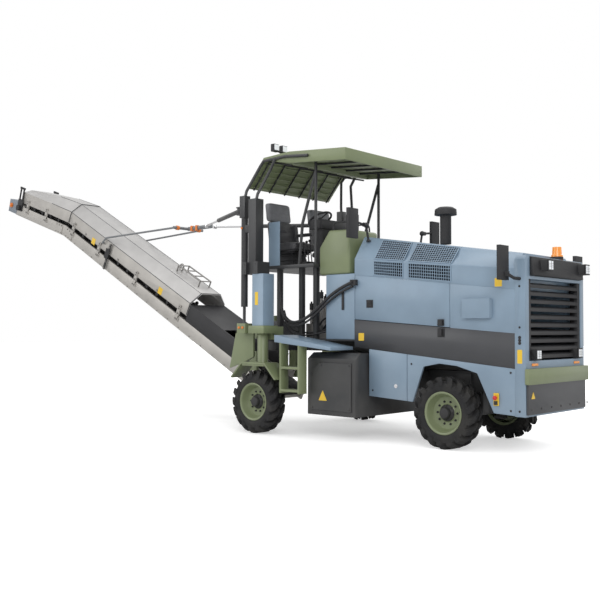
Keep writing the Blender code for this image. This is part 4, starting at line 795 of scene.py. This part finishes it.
# ---- things about the operator's stand
def buildStand():
    floor = seat["floor"]
    for label, side in sides:
        bm = bmesh.new()   # switch box on the column's head, in two halves round the post
        for x0, x1 in ((-2.86, -2.7905), (-2.6495, -2.575)):
            addBox(bm, at(x0, side * 1.0 - 0.11, 2.0405), at(x1, side * 1.0 + 0.11, 2.20))
            for z in (2.07, 2.17):
                addBolt(bm, at((x0 + x1) / 2, side * 1.11, z), (0, side, 0), 0.007, 0.005)
        meshPiece("columnBox_" + label, bm, "darkPaint", "chassis", 0.006)
        bm = bmesh.new()   # side screen by the seat
        addBox(bm, at(-2.70, side * 0.775 - 0.004, floor + 0.0005), at(-2.50, side * 0.775 + 0.004, 2.74))
        for z in (2.22, 2.68):
            for x in (-2.68, -2.52):
                addBolt(bm, at(x, side * 0.779, z), (0, side, 0), 0.008, 0.006)
        meshPiece("sideScreen_" + label, bm, "bluePaint", "chassis", 0.004)
        bm = bmesh.new()   # levers with knobs, in front of each seat
        for i, (x, y) in enumerate(((-2.26, 0.52), (-2.26, 0.46), (-2.26, 0.40))):
            top = at(x - 0.05, side * y, floor + 0.30 + 0.02 * i)
            addRod(bm, at(x, side * y, floor + 0.001), top, 0.008, 8)
            bmesh.ops.create_uvsphere(bm, u_segments=12, v_segments=8, radius=0.020, matrix=Matrix.Translation(top))
        addBox(bm, at(-2.30, side * 0.46 - 0.10, floor + 0.001), at(-2.22, side * 0.46 + 0.10, floor + 0.055))
        meshPiece("levers_" + label, bm, "blackPlastic", "chassis", 0.002)
    bm = bmesh.new()   # spool valves on the deck: block, chromed bodies, caps
    addBox(bm, at(-2.28, -0.50, 1.2005), at(-2.06, 0.10, 1.40))
    caps = bmesh.new()
    for i in range(7):
        for x in (-2.22, -2.12):
            y = -0.46 + 0.085 * i
            top = 1.58 + 0.05 * ((i * 3) % 4)
            addRod(bm, at(x, y, 1.40), at(x, y, top), 0.020, 16)
            addRod(bm, at(x, y, 1.45), at(x, y, 1.47), 0.027, 6)
            addRod(caps, at(x, y, top + 0.0003), at(x, y, top + 0.085), 0.026, 16)
            addRod(caps, at(x, y, top + 0.085), at(x, y, top + 0.11), 0.012, 10)
    meshPiece("valveBodies", bm, "chainSteel", "chassis", 0.002)
    meshPiece("valveCaps", caps, "blackPlastic", "chassis", 0.002)
    # black hoses
    thick = ((-1.30, 1.90), (-1.53, 1.83), (-1.78, 1.66), (-2.02, 1.47), (-2.28, 1.39), (-2.50, 1.46), (-2.62, 1.60), (-2.66, 1.80))
    for i, (drop, y, radius) in enumerate(((0.0, -0.742, 0.020), (-0.05, -0.735, 0.014))):
        route = [at(x, y if x > -2.3 else y + 0.09, z + drop) for x, z in thick]
        route[-1] = route[-2] + Vector((0, 0.02, 0.40))
        addPipe("cabinetHose_%d" % i, route, radius, "hoseRubber", "chassis")
    for i in range(5):
        y, z = -0.62 + 0.06 * i, 1.245 + 0.032 * (i % 3)
        route = [at(-1.7605, y, z + 0.06), at(-1.86, y, z + 0.05), at(-2.04, y - 0.01, z), at(-2.33, y + 0.01, z),
                 at(-2.55, y, z + 0.05), at(-2.62, y, z + 0.30)]
        if i > 1:
            route = route[:1] + [at(-1.84, y, z + 0.10), at(-1.95, y, z + 0.22), at(-2.03, y, z + 0.08), at(-2.058, y, z + 0.06)]
        addPipe("deckHose_%d" % i, route, 0.012, "hoseRubber", "chassis")
    bm = bmesh.new()
    addBox(bm, at(-1.495, -0.716, 1.565), at(-1.463, -0.7003, 1.785))
    addBox(bm, at(-1.34, -0.745, 1.86), at(-1.25, -0.7003, 1.93))
    meshPiece("cabinetFittings", bm, "blackPlastic", "chassis", 0.003)
    # grab handles on the tank
    for i, y in enumerate((-0.63, -0.22)):
        addPipe("tankHandle_%d" % i, [at(-1.70, y, 2.572), at(-1.70, y, 2.655), at(-1.67, y, 2.672), at(-1.48, y, 2.668),
                                      at(-1.445, y, 2.65), at(-1.445, y, 2.566)], 0.011, "blackPlastic", "chassis")
    bm = bmesh.new()
    spinUp(bm, [(0, 0.045), (0.040, 0.045), (0.045, 0.038), (0.045, 0.012), (0.052, 0.010), (0.052, 0.0), (0, 0)],
           at(-1.60, -0.42, 2.572), (0, 0, 1), 24)
    meshPiece("tankCap", bm, "blackPlastic", "chassis")
    for label, side in sides:   # mirror glass and the ball joint on its arm
        boxPiece("mirrorGlass_" + label, (-1.2122, side * 0.88 - 0.078, 2.435), (-1.2103, side * 0.88 + 0.078, 2.765),
                 "mirror", "chassis", 0.0)
        bm = bmesh.new()
        bmesh.ops.create_uvsphere(bm, u_segments=20, v_segments=12, radius=0.034, matrix=Matrix.Translation(at(-1.20, side * 0.60, 2.60)))
        addRod(bm, at(-1.20, side * 0.615, 2.60), at(-1.195, side * 0.66, 2.603), 0.026, 16)
        spinUp(bm, [(0.016, 0.0), (0.030, 0.0), (0.030, 0.008), (0.020, 0.022), (0.016, 0.022), (0.016, 0.0)],
               at(-1.20, side * 0.55, mirrorFoot()), (0, 0, 1), 20)
        meshPiece("mirrorJoint_" + label, bm, "blackPlastic", "chassis")
        bm = bmesh.new()   # orange pins in the strut's block
        for x in (-2.965, -2.895):
            addRod(bm, at(x, side * 1.0603, 1.345), at(x, side * 1.074, 1.345), 0.016, 16)
        addRod(bm, at(-2.93, side * 1.0503, 2.66), at(-2.93, side * 1.064, 2.66), 0.014, 16)
        meshPiece("orangePins_" + label, bm, "orangePaint", "chassis", 0.002)


def mirrorFoot():
    fall = (0.55 - topHalf) / (bodyHalf - topHalf)
    return lineHeight("top", -1.20) + (lineHeight("ridge", -1.20) - lineHeight("top", -1.20)) * fall + 0.018


# ---- canopy: slats and bars below, seams on the visor, rear lamps
def buildCanopy():
    slats, bars, seams, lenses = bmesh.new(), bmesh.new(), bmesh.new(), bmesh.new()
    x0, x1 = -2.26, -1.39
    for i in range(8):
        x = x0 + 0.02 + (x1 - x0 - 0.12) * i / 7
        z = lineHeight("canopy", x + 0.04) - 0.075
        addBox(slats, at(x, -0.788, z - 0.006), at(x + 0.078, 0.788, z + 0.006))
    for y in (-0.62, -0.31, 0.0, 0.31, 0.62):
        addRod(bars, at(x0 - 0.006, y, lineHeight("canopy", x0) - 0.095), at(x1 + 0.006, y, lineHeight("canopy", x1) - 0.095), 0.013, 10)
    roof = lineHeight("canopy", -2.30)
    high, low = Vector((-2.73, roof - 0.065)), Vector((-3.03, roof - 0.415))
    for i in range(5):
        spot = high.lerp(low, (i + 0.5) / 5)
        addRod(seams, at(spot.x + 0.006, -0.80, spot.y - 0.005), at(spot.x + 0.006, 0.80, spot.y - 0.005), 0.007, 8)
    for i in range(6):
        y = -0.75 + 0.30 * i
        addRod(bars, at(high.x + 0.010, y, high.y - 0.008), at(low.x + 0.010, y, low.y - 0.006), 0.011, 8)
        addRod(bars, at(high.x + 0.010, y, high.y - 0.008), at(-2.305, y, lineHeight("canopy", x0) - 0.168), 0.011, 8)
    for y in (-0.74, -0.58):
        z = lineHeight("canopy", -2.6)
        addBox(lenses, at(-2.5997, y - 0.041, z + 0.040), at(-2.592, y + 0.041, z + 0.121))
    meshPiece("canopySlats", slats, "sagePaint", "chassis", 0.002)
    meshPiece("canopyBars", bars, "blackPlastic", "chassis")
    meshPiece("visorSeams", seams, "sagePaint", "chassis")
    meshPiece("canopyLenses", lenses, "whiteLens", "chassis", 0.003)


# ---- conveyor
belt = {"pinX": -3.35, "pinZ": 0.72, "slope": math.radians(27.2), "headSlope": math.radians(17.5), "kink": 5.58,
        "end": 7.30, "half": 0.35, "panel": 0.215, "rise": 0.17, "coverStart": 1.75}


def alongBelt(distance, height, y):
    # a distance up the conveyor from its pin, and a height square to the belt
    slope = belt["slope"]
    run = min(distance, belt["kink"])
    x, z = belt["pinX"] - math.cos(slope) * run, belt["pinZ"] + math.sin(slope) * run
    if distance > belt["kink"]:
        slope = belt["headSlope"]
        x -= math.cos(slope) * (distance - belt["kink"])
        z += math.sin(slope) * (distance - belt["kink"])
    return at(x + math.sin(slope) * height, y, z + math.cos(slope) * height)


def beltBlock(bm, d0, d1, h0, h1, y0, y1):
    made = bmesh.ops.create_cube(bm, size=1)["verts"]
    for v in made:
        v.co = alongBelt(d1 if v.co.x > 0 else d0, h1 if v.co.z > 0 else h0, y1 if v.co.y > 0 else y0)
    return made


def buildConveyor():
    half, panel, rise = belt["half"], belt["panel"], belt["rise"]
    rollers, seams, brackets, hardware, plate, orange, anchors = (bmesh.new() for _ in range(7))
    for i in range(24):
        d = 0.22 + 0.30 * i
        if abs(d - belt["kink"]) > 0.06 and d < 7.15:
            addRod(rollers, alongBelt(d, -0.034, 0.318 - 0.636), alongBelt(d, -0.034, 0.318), 0.0095, 10)
            for side in (-1, 1):
                addRod(rollers, alongBelt(d, -0.036, side * 0.290), alongBelt(d, -0.036, side * 0.316), 0.030, 16)
    for side in (-1, 1):
        y = side * half
        out = side * (half + 0.0004)
        for d0, d1 in ((belt["coverStart"] + 0.004, 5.525), (5.54, 6.175)):
            addRod(seams, alongBelt(d0, panel, out), alongBelt(d1, panel, out), 0.0055, 8)
            addRod(seams, alongBelt(d0, panel + rise, side * half * 0.55),
                   alongBelt(d1, panel + rise if d0 < 5 else panel + 0.15, side * half * 0.55), 0.0035, 8)
        for d in (1.95, 3.2, 4.4, 5.3, 6.3, 7.0):   # hinge straps with bolts across the slot
            y0, y1 = sorted((side * (half + 0.0125), side * (half + 0.022)))
            beltBlock(brackets, d - 0.032, d + 0.032, -0.16, 0.09, y0, y1)
            beltBlock(brackets, d - 0.055, d + 0.055, -0.165, -0.105, *sorted((side * (half + 0.0004), side * (half + 0.0122))))
            for dd, h in ((-0.016, -0.135), (0.016, -0.135), (0.0, -0.045), (0.0, 0.035), (0.0, 0.070)):
                place = alongBelt(d + dd, h, side * (half + 0.022))
                addBolt(hardware, place, (0, side, 0), 0.011, 0.012)
        for d in (2.6, 3.8, 4.9):   # latch tags on the cover
            beltBlock(hardware, d - 0.016, d + 0.016, 0.02, 0.055, *sorted((side * (half + 0.0004), side * (half + 0.008))))
        for d0, d1, h0, h1 in ((4.05, 4.10, -0.262, 0.205), (4.10, 4.16, -0.08, 0.10)):   # stay's anchor frame
            beltBlock(anchors, d0, d1, h0, h1, *sorted((side * (half + 0.0238), side * (half + 0.036))))
        for h in (-0.24, -0.12, 0.14, 0.19):
            addBolt(hardware, alongBelt(4.075, h, side * (half + 0.036)), (0, side, 0), 0.014, 0.014)
        for d0, d1, h0, h1 in ((5.28, 5.50, -0.262, -0.078), (5.68, 5.90, -0.262, -0.078)):   # fish plates at the bend
            beltBlock(brackets, d0, d1, h0, h1, *sorted((side * (half + 0.0004), side * (half + 0.010))))
            for dd in (0.03, 0.11, 0.19):
                for h in (-0.235, -0.105):
                    addBolt(hardware, alongBelt(d0 + dd, h, side * (half + 0.010)), (0, side, 0), 0.010, 0.009)
        for i in range(18):   # rail bolts
            d = 0.35 + 0.30 * i
            if abs(d - 4.1) > 0.12:
                addBolt(hardware, alongBelt(d, -0.245, side * (half + 0.0003)), (0, side, 0), 0.0085, 0.006)
        for d, h in ((4.62, 0.02), (2.52, 0.06)):
            beltBlock(plate, d - 0.055, d + 0.055, h - 0.05, h + 0.06, *sorted((side * (half + 0.0004), side * (half + 0.0015))))
        addRod(orange, alongBelt(7.62, -0.12, side * (half + 0.0045)), alongBelt(7.62, -0.12, side * (half + 0.030)), 0.045, 24)
        addRod(orange, alongBelt(7.62, -0.12, side * (half + 0.030)), alongBelt(7.62, -0.12, side * (half + 0.040)), 0.030, 24)
    for d in (1.76, 5.51):   # straps over the cover
        path = [alongBelt(d, h, y) for y, h in ((-half - 0.004, 0.02), (-half - 0.004, panel), (-half * 0.55, panel + rise + 0.004),
                                                (half * 0.55, panel + rise + 0.004), (half + 0.004, panel), (half + 0.004, 0.02))]
        for a, b in zip(path, path[1:]):
            addRod(seams, a, b, 0.0065, 8)
    bm = bmesh.new()   # lifting eye and guard bars on the cover's top
    top = panel + rise
    for y in (-0.06, 0.16):
        addRod(bm, alongBelt(2.02, top + 0.001, y), alongBelt(2.02, top + 0.10, y), 0.012, 10)
        addRod(bm, alongBelt(2.62, top + 0.001, y), alongBelt(2.62, top + 0.10, y), 0.012, 10)
        addRod(bm, alongBelt(2.02, top + 0.10, y), alongBelt(2.62, top + 0.10, y), 0.012, 10)
    for d in (2.02, 2.22, 2.42, 2.62):
        addRod(bm, alongBelt(d, top + 0.10, -0.06), alongBelt(d, top + 0.10, 0.16), 0.010, 10)
    ring = [alongBelt(2.66 + 0.05 * math.cos(t), top + 0.055 + 0.055 * math.sin(t), 0.05)
            for t in [math.tau * i / 16 for i in range(17)]]
    for a, b in zip(ring, ring[1:]):
        addRod(bm, a, b, 0.011, 8)
    meshPiece("coverGuard", bm, "chainSteel", "conveyor")
    bm = bmesh.new()   # head pulley's bearing bracket and motor
    for side in (-1, 1):
        y0, y1 = sorted((side * (half + 0.0006), side * (half + 0.024)))
        beltBlock(bm, 7.20, 7.38, -0.16, 0.06, y0, y1)
        beltBlock(bm, 7.22, 7.25, 0.06, 0.26, y0, y1)
        beltBlock(bm, 7.33, 7.36, 0.06, 0.26, y0, y1)
        beltBlock(bm, 7.20, 7.38, 0.26, 0.30, y0, y1)
        addRod(bm, alongBelt(7.28, -0.107, side * (half + 0.024)), alongBelt(7.28, -0.107, side * (half + 0.075)), 0.055, 24)
    meshPiece("headBracket", bm, "blackPlastic", "conveyor", 0.004)
    meshPiece("beltRollers", rollers, "blackPlastic", "conveyor")
    meshPiece("coverSeams", seams, "bandPaint", "conveyor")
    meshPiece("coverBrackets", brackets, "stainless", "conveyor", 0.003)
    meshPiece("stayAnchors", anchors, "blackPlastic", "conveyor", 0.003)
    meshPiece("conveyorBolts", hardware, "chainSteel", "conveyor")
    meshPiece("conveyorPlates", plate, "yellowPlate", "conveyor")
    meshPiece("headLamps", orange, "orangePaint", "conveyor", 0.003)
    bm = bmesh.new()   # orange clamps on the stays
    for x in (-5.20, -5.08):
        addBox(bm, at(x - 0.022, -0.024, 2.886), at(x + 0.022, -0.0125, 2.974))
        addBox(bm, at(x - 0.022, 0.0125, 2.886), at(x + 0.022, 0.024, 2.974))
    for y in (-0.22, 0.22):
        addRod(bm, at(-5.30, y - 0.025, 2.93), at(-5.30, y + 0.025, 2.93), 0.036, 20)
    meshPiece("stayClamps", bm, "orangePaint", "conveyor", 0.003)


# ---- drum housing's plates, dark strips behind the side seams as painted shade, bolts on the front beam
def buildBodyDetails():
    for label, side in sides:
        # black strips inside the body behind the band's top seam: painted shade in the gap
        outline = [(x, lineHeight("bandTop", x) + h)
                   for x, h in ((-1.295, -0.030), (0.85, -0.030), (0.85, 0.028), (-1.295, 0.028))]
        plateAlong("bandSeamShade_" + label, outline, side * 0.640, side * 0.6245, "blackPlastic", "chassis",
                   0.0)
    bm = bmesh.new()
    outline = [(-1.80, 0.34), (-1.16, 0.34), (-1.16, 0.92), (-1.66, 0.92), (-1.80, 0.80)]
    plateAlong("housingCover", outline, -0.9306, -0.944, "darkPaint", "chassis", 0.004)
    for x, z in outline:
        cx, cz = x + (0.03 if x < -1.5 else -0.03), z + (0.03 if z < 0.6 else -0.03)
        addBolt(bm, at(cx, -0.944, cz), (0, -1, 0), 0.011, 0.009)
    meshPiece("housingBolts", bm, "darkPaint", "chassis", 0.002)
    bm = bmesh.new()   # heads on the front beam
    for y in (-0.66, -0.45, -0.22, 0.0, 0.22, 0.45, 0.66):
        addBolt(bm, at(1.0203, y, 0.50), (1, 0, 0), 0.010, 0.008)
    meshPiece("beamBolts", bm, "darkPaint", "chassis")


# the mirror glass is painted a pale blue-grey: a painted reflection
materials["mirror"] = lensMaterial("mirrorGlass", (0.70, 0.74, 0.78), 0.0)
buildSeats()
buildStand()
buildCanopy()
print("operator's stand made")
buildConveyor()
buildBodyDetails()
print("conveyor made")




# ---- floor, light and camera
studio = {
    "floorSize": 60, "floorColour": (0.90, 0.90, 0.90), "worldStrength": 0.50,
    "lamps": [  # place from the front axle, size, power
        ("keyLamp", (9, -11, 9), 7, 760), ("fillLamp", (-9, -12, 8), 9, 430),
        ("topLamp", (-1, 1, 12), 10, 420), ("backLamp", (-3, 12, 8), 8, 260),
    ],
}
camera = {"place": (5.169, -8.697, 1.324), "look": (-0.6775, 0.7347, 0.0348), "roll": 0.16, "focal": 842}


def buildStudio():
    bm = bmesh.new()
    bmesh.ops.create_grid(bm, x_segments=2, y_segments=2, size=studio["floorSize"])
    mesh = meshFrom(bm, "floor")
    floor = bpy.data.objects.new("floor", mesh)
    bpy.context.scene.collection.objects.link(floor)
    floor.location = (0, 0, -0.002)
    material = bpy.data.materials.new("paleFloor")
    material.use_nodes = True
    tree = material.node_tree
    shader = tree.nodes["Principled BSDF"]
    shader.inputs["Base Color"].default_value = (*studio["floorColour"], 1)
    shader.inputs["Roughness"].default_value = 0.9
    shader.inputs["Specular IOR Level"].default_value = 0.1
    # the far floor goes to white for the camera, and the shadow by the machine stays
    coords = tree.nodes.new("ShaderNodeTexCoord").outputs["Object"]
    length = tree.nodes.new("ShaderNodeVectorMath")
    length.operation = "LENGTH"
    tree.links.new(coords, length.inputs[0])
    reach = rampOf(tree, length.outputs["Value"], 3.5, 9.0)
    reach.node.inputs["To Min"].default_value = 0.42
    reach.node.inputs["To Max"].default_value = 1.0
    path = tree.nodes.new("ShaderNodeLightPath")
    seen = nodeOf(tree, "ShaderNodeMath", operation="MULTIPLY")
    tree.links.new(reach, seen.inputs[0])
    tree.links.new(path.outputs["Is Camera Ray"], seen.inputs[1])
    shader.inputs["Emission Color"].default_value = (1, 1, 1, 1)
    tree.links.new(seen.outputs[0], shader.inputs["Emission Strength"])
    mesh.materials.append(material)
    world = bpy.data.worlds.new("studioWorld")
    bpy.context.scene.world = world
    world.use_nodes = True
    tree = world.node_tree
    background = tree.nodes["Background"]
    path = tree.nodes.new("ShaderNodeLightPath")
    seen = tree.nodes.new("ShaderNodeMath")
    seen.operation = "MAXIMUM"
    tree.links.new(path.outputs["Is Camera Ray"], seen.inputs[0])
    tree.links.new(path.outputs["Is Glossy Ray"], seen.inputs[1])
    strength = tree.nodes.new("ShaderNodeMapRange")
    strength.inputs["To Min"].default_value = studio["worldStrength"]
    strength.inputs["To Max"].default_value = 1.0
    tree.links.new(seen.outputs[0], strength.inputs["Value"])
    background.inputs["Color"].default_value = (1, 1, 1, 1)
    tree.links.new(strength.outputs["Result"], background.inputs["Strength"])
    for name, place, size, power in studio["lamps"]:
        light = bpy.data.lights.new(name, "AREA")
        light.size, light.energy = size, power
        lamp = bpy.data.objects.new(name, light)
        bpy.context.scene.collection.objects.link(lamp)
        lamp.location = at(*place)
        lamp.rotation_euler = (at(-1.5, 0, 1) - lamp.location).to_track_quat("-Z", "Y").to_euler()


def buildCamera():
    data = bpy.data.cameras.new("camera")
    eye = bpy.data.objects.new("camera", data)
    bpy.context.scene.collection.objects.link(eye)
    data.sensor_width = 36
    data.lens = camera["focal"] * 36 / 600
    data.clip_end = 200
    eye.location = at(*camera["place"])
    turn = Vector(camera["look"]).to_track_quat("-Z", "Y").to_matrix().to_4x4()
    eye.rotation_euler = (turn @ Matrix.Rotation(math.radians(camera["roll"]), 4, "Z")).to_euler()
    bpy.context.scene.camera = eye


buildStudio()
buildCamera()
bpy.context.scene.view_settings.view_transform = "Standard"
print("scene ready")
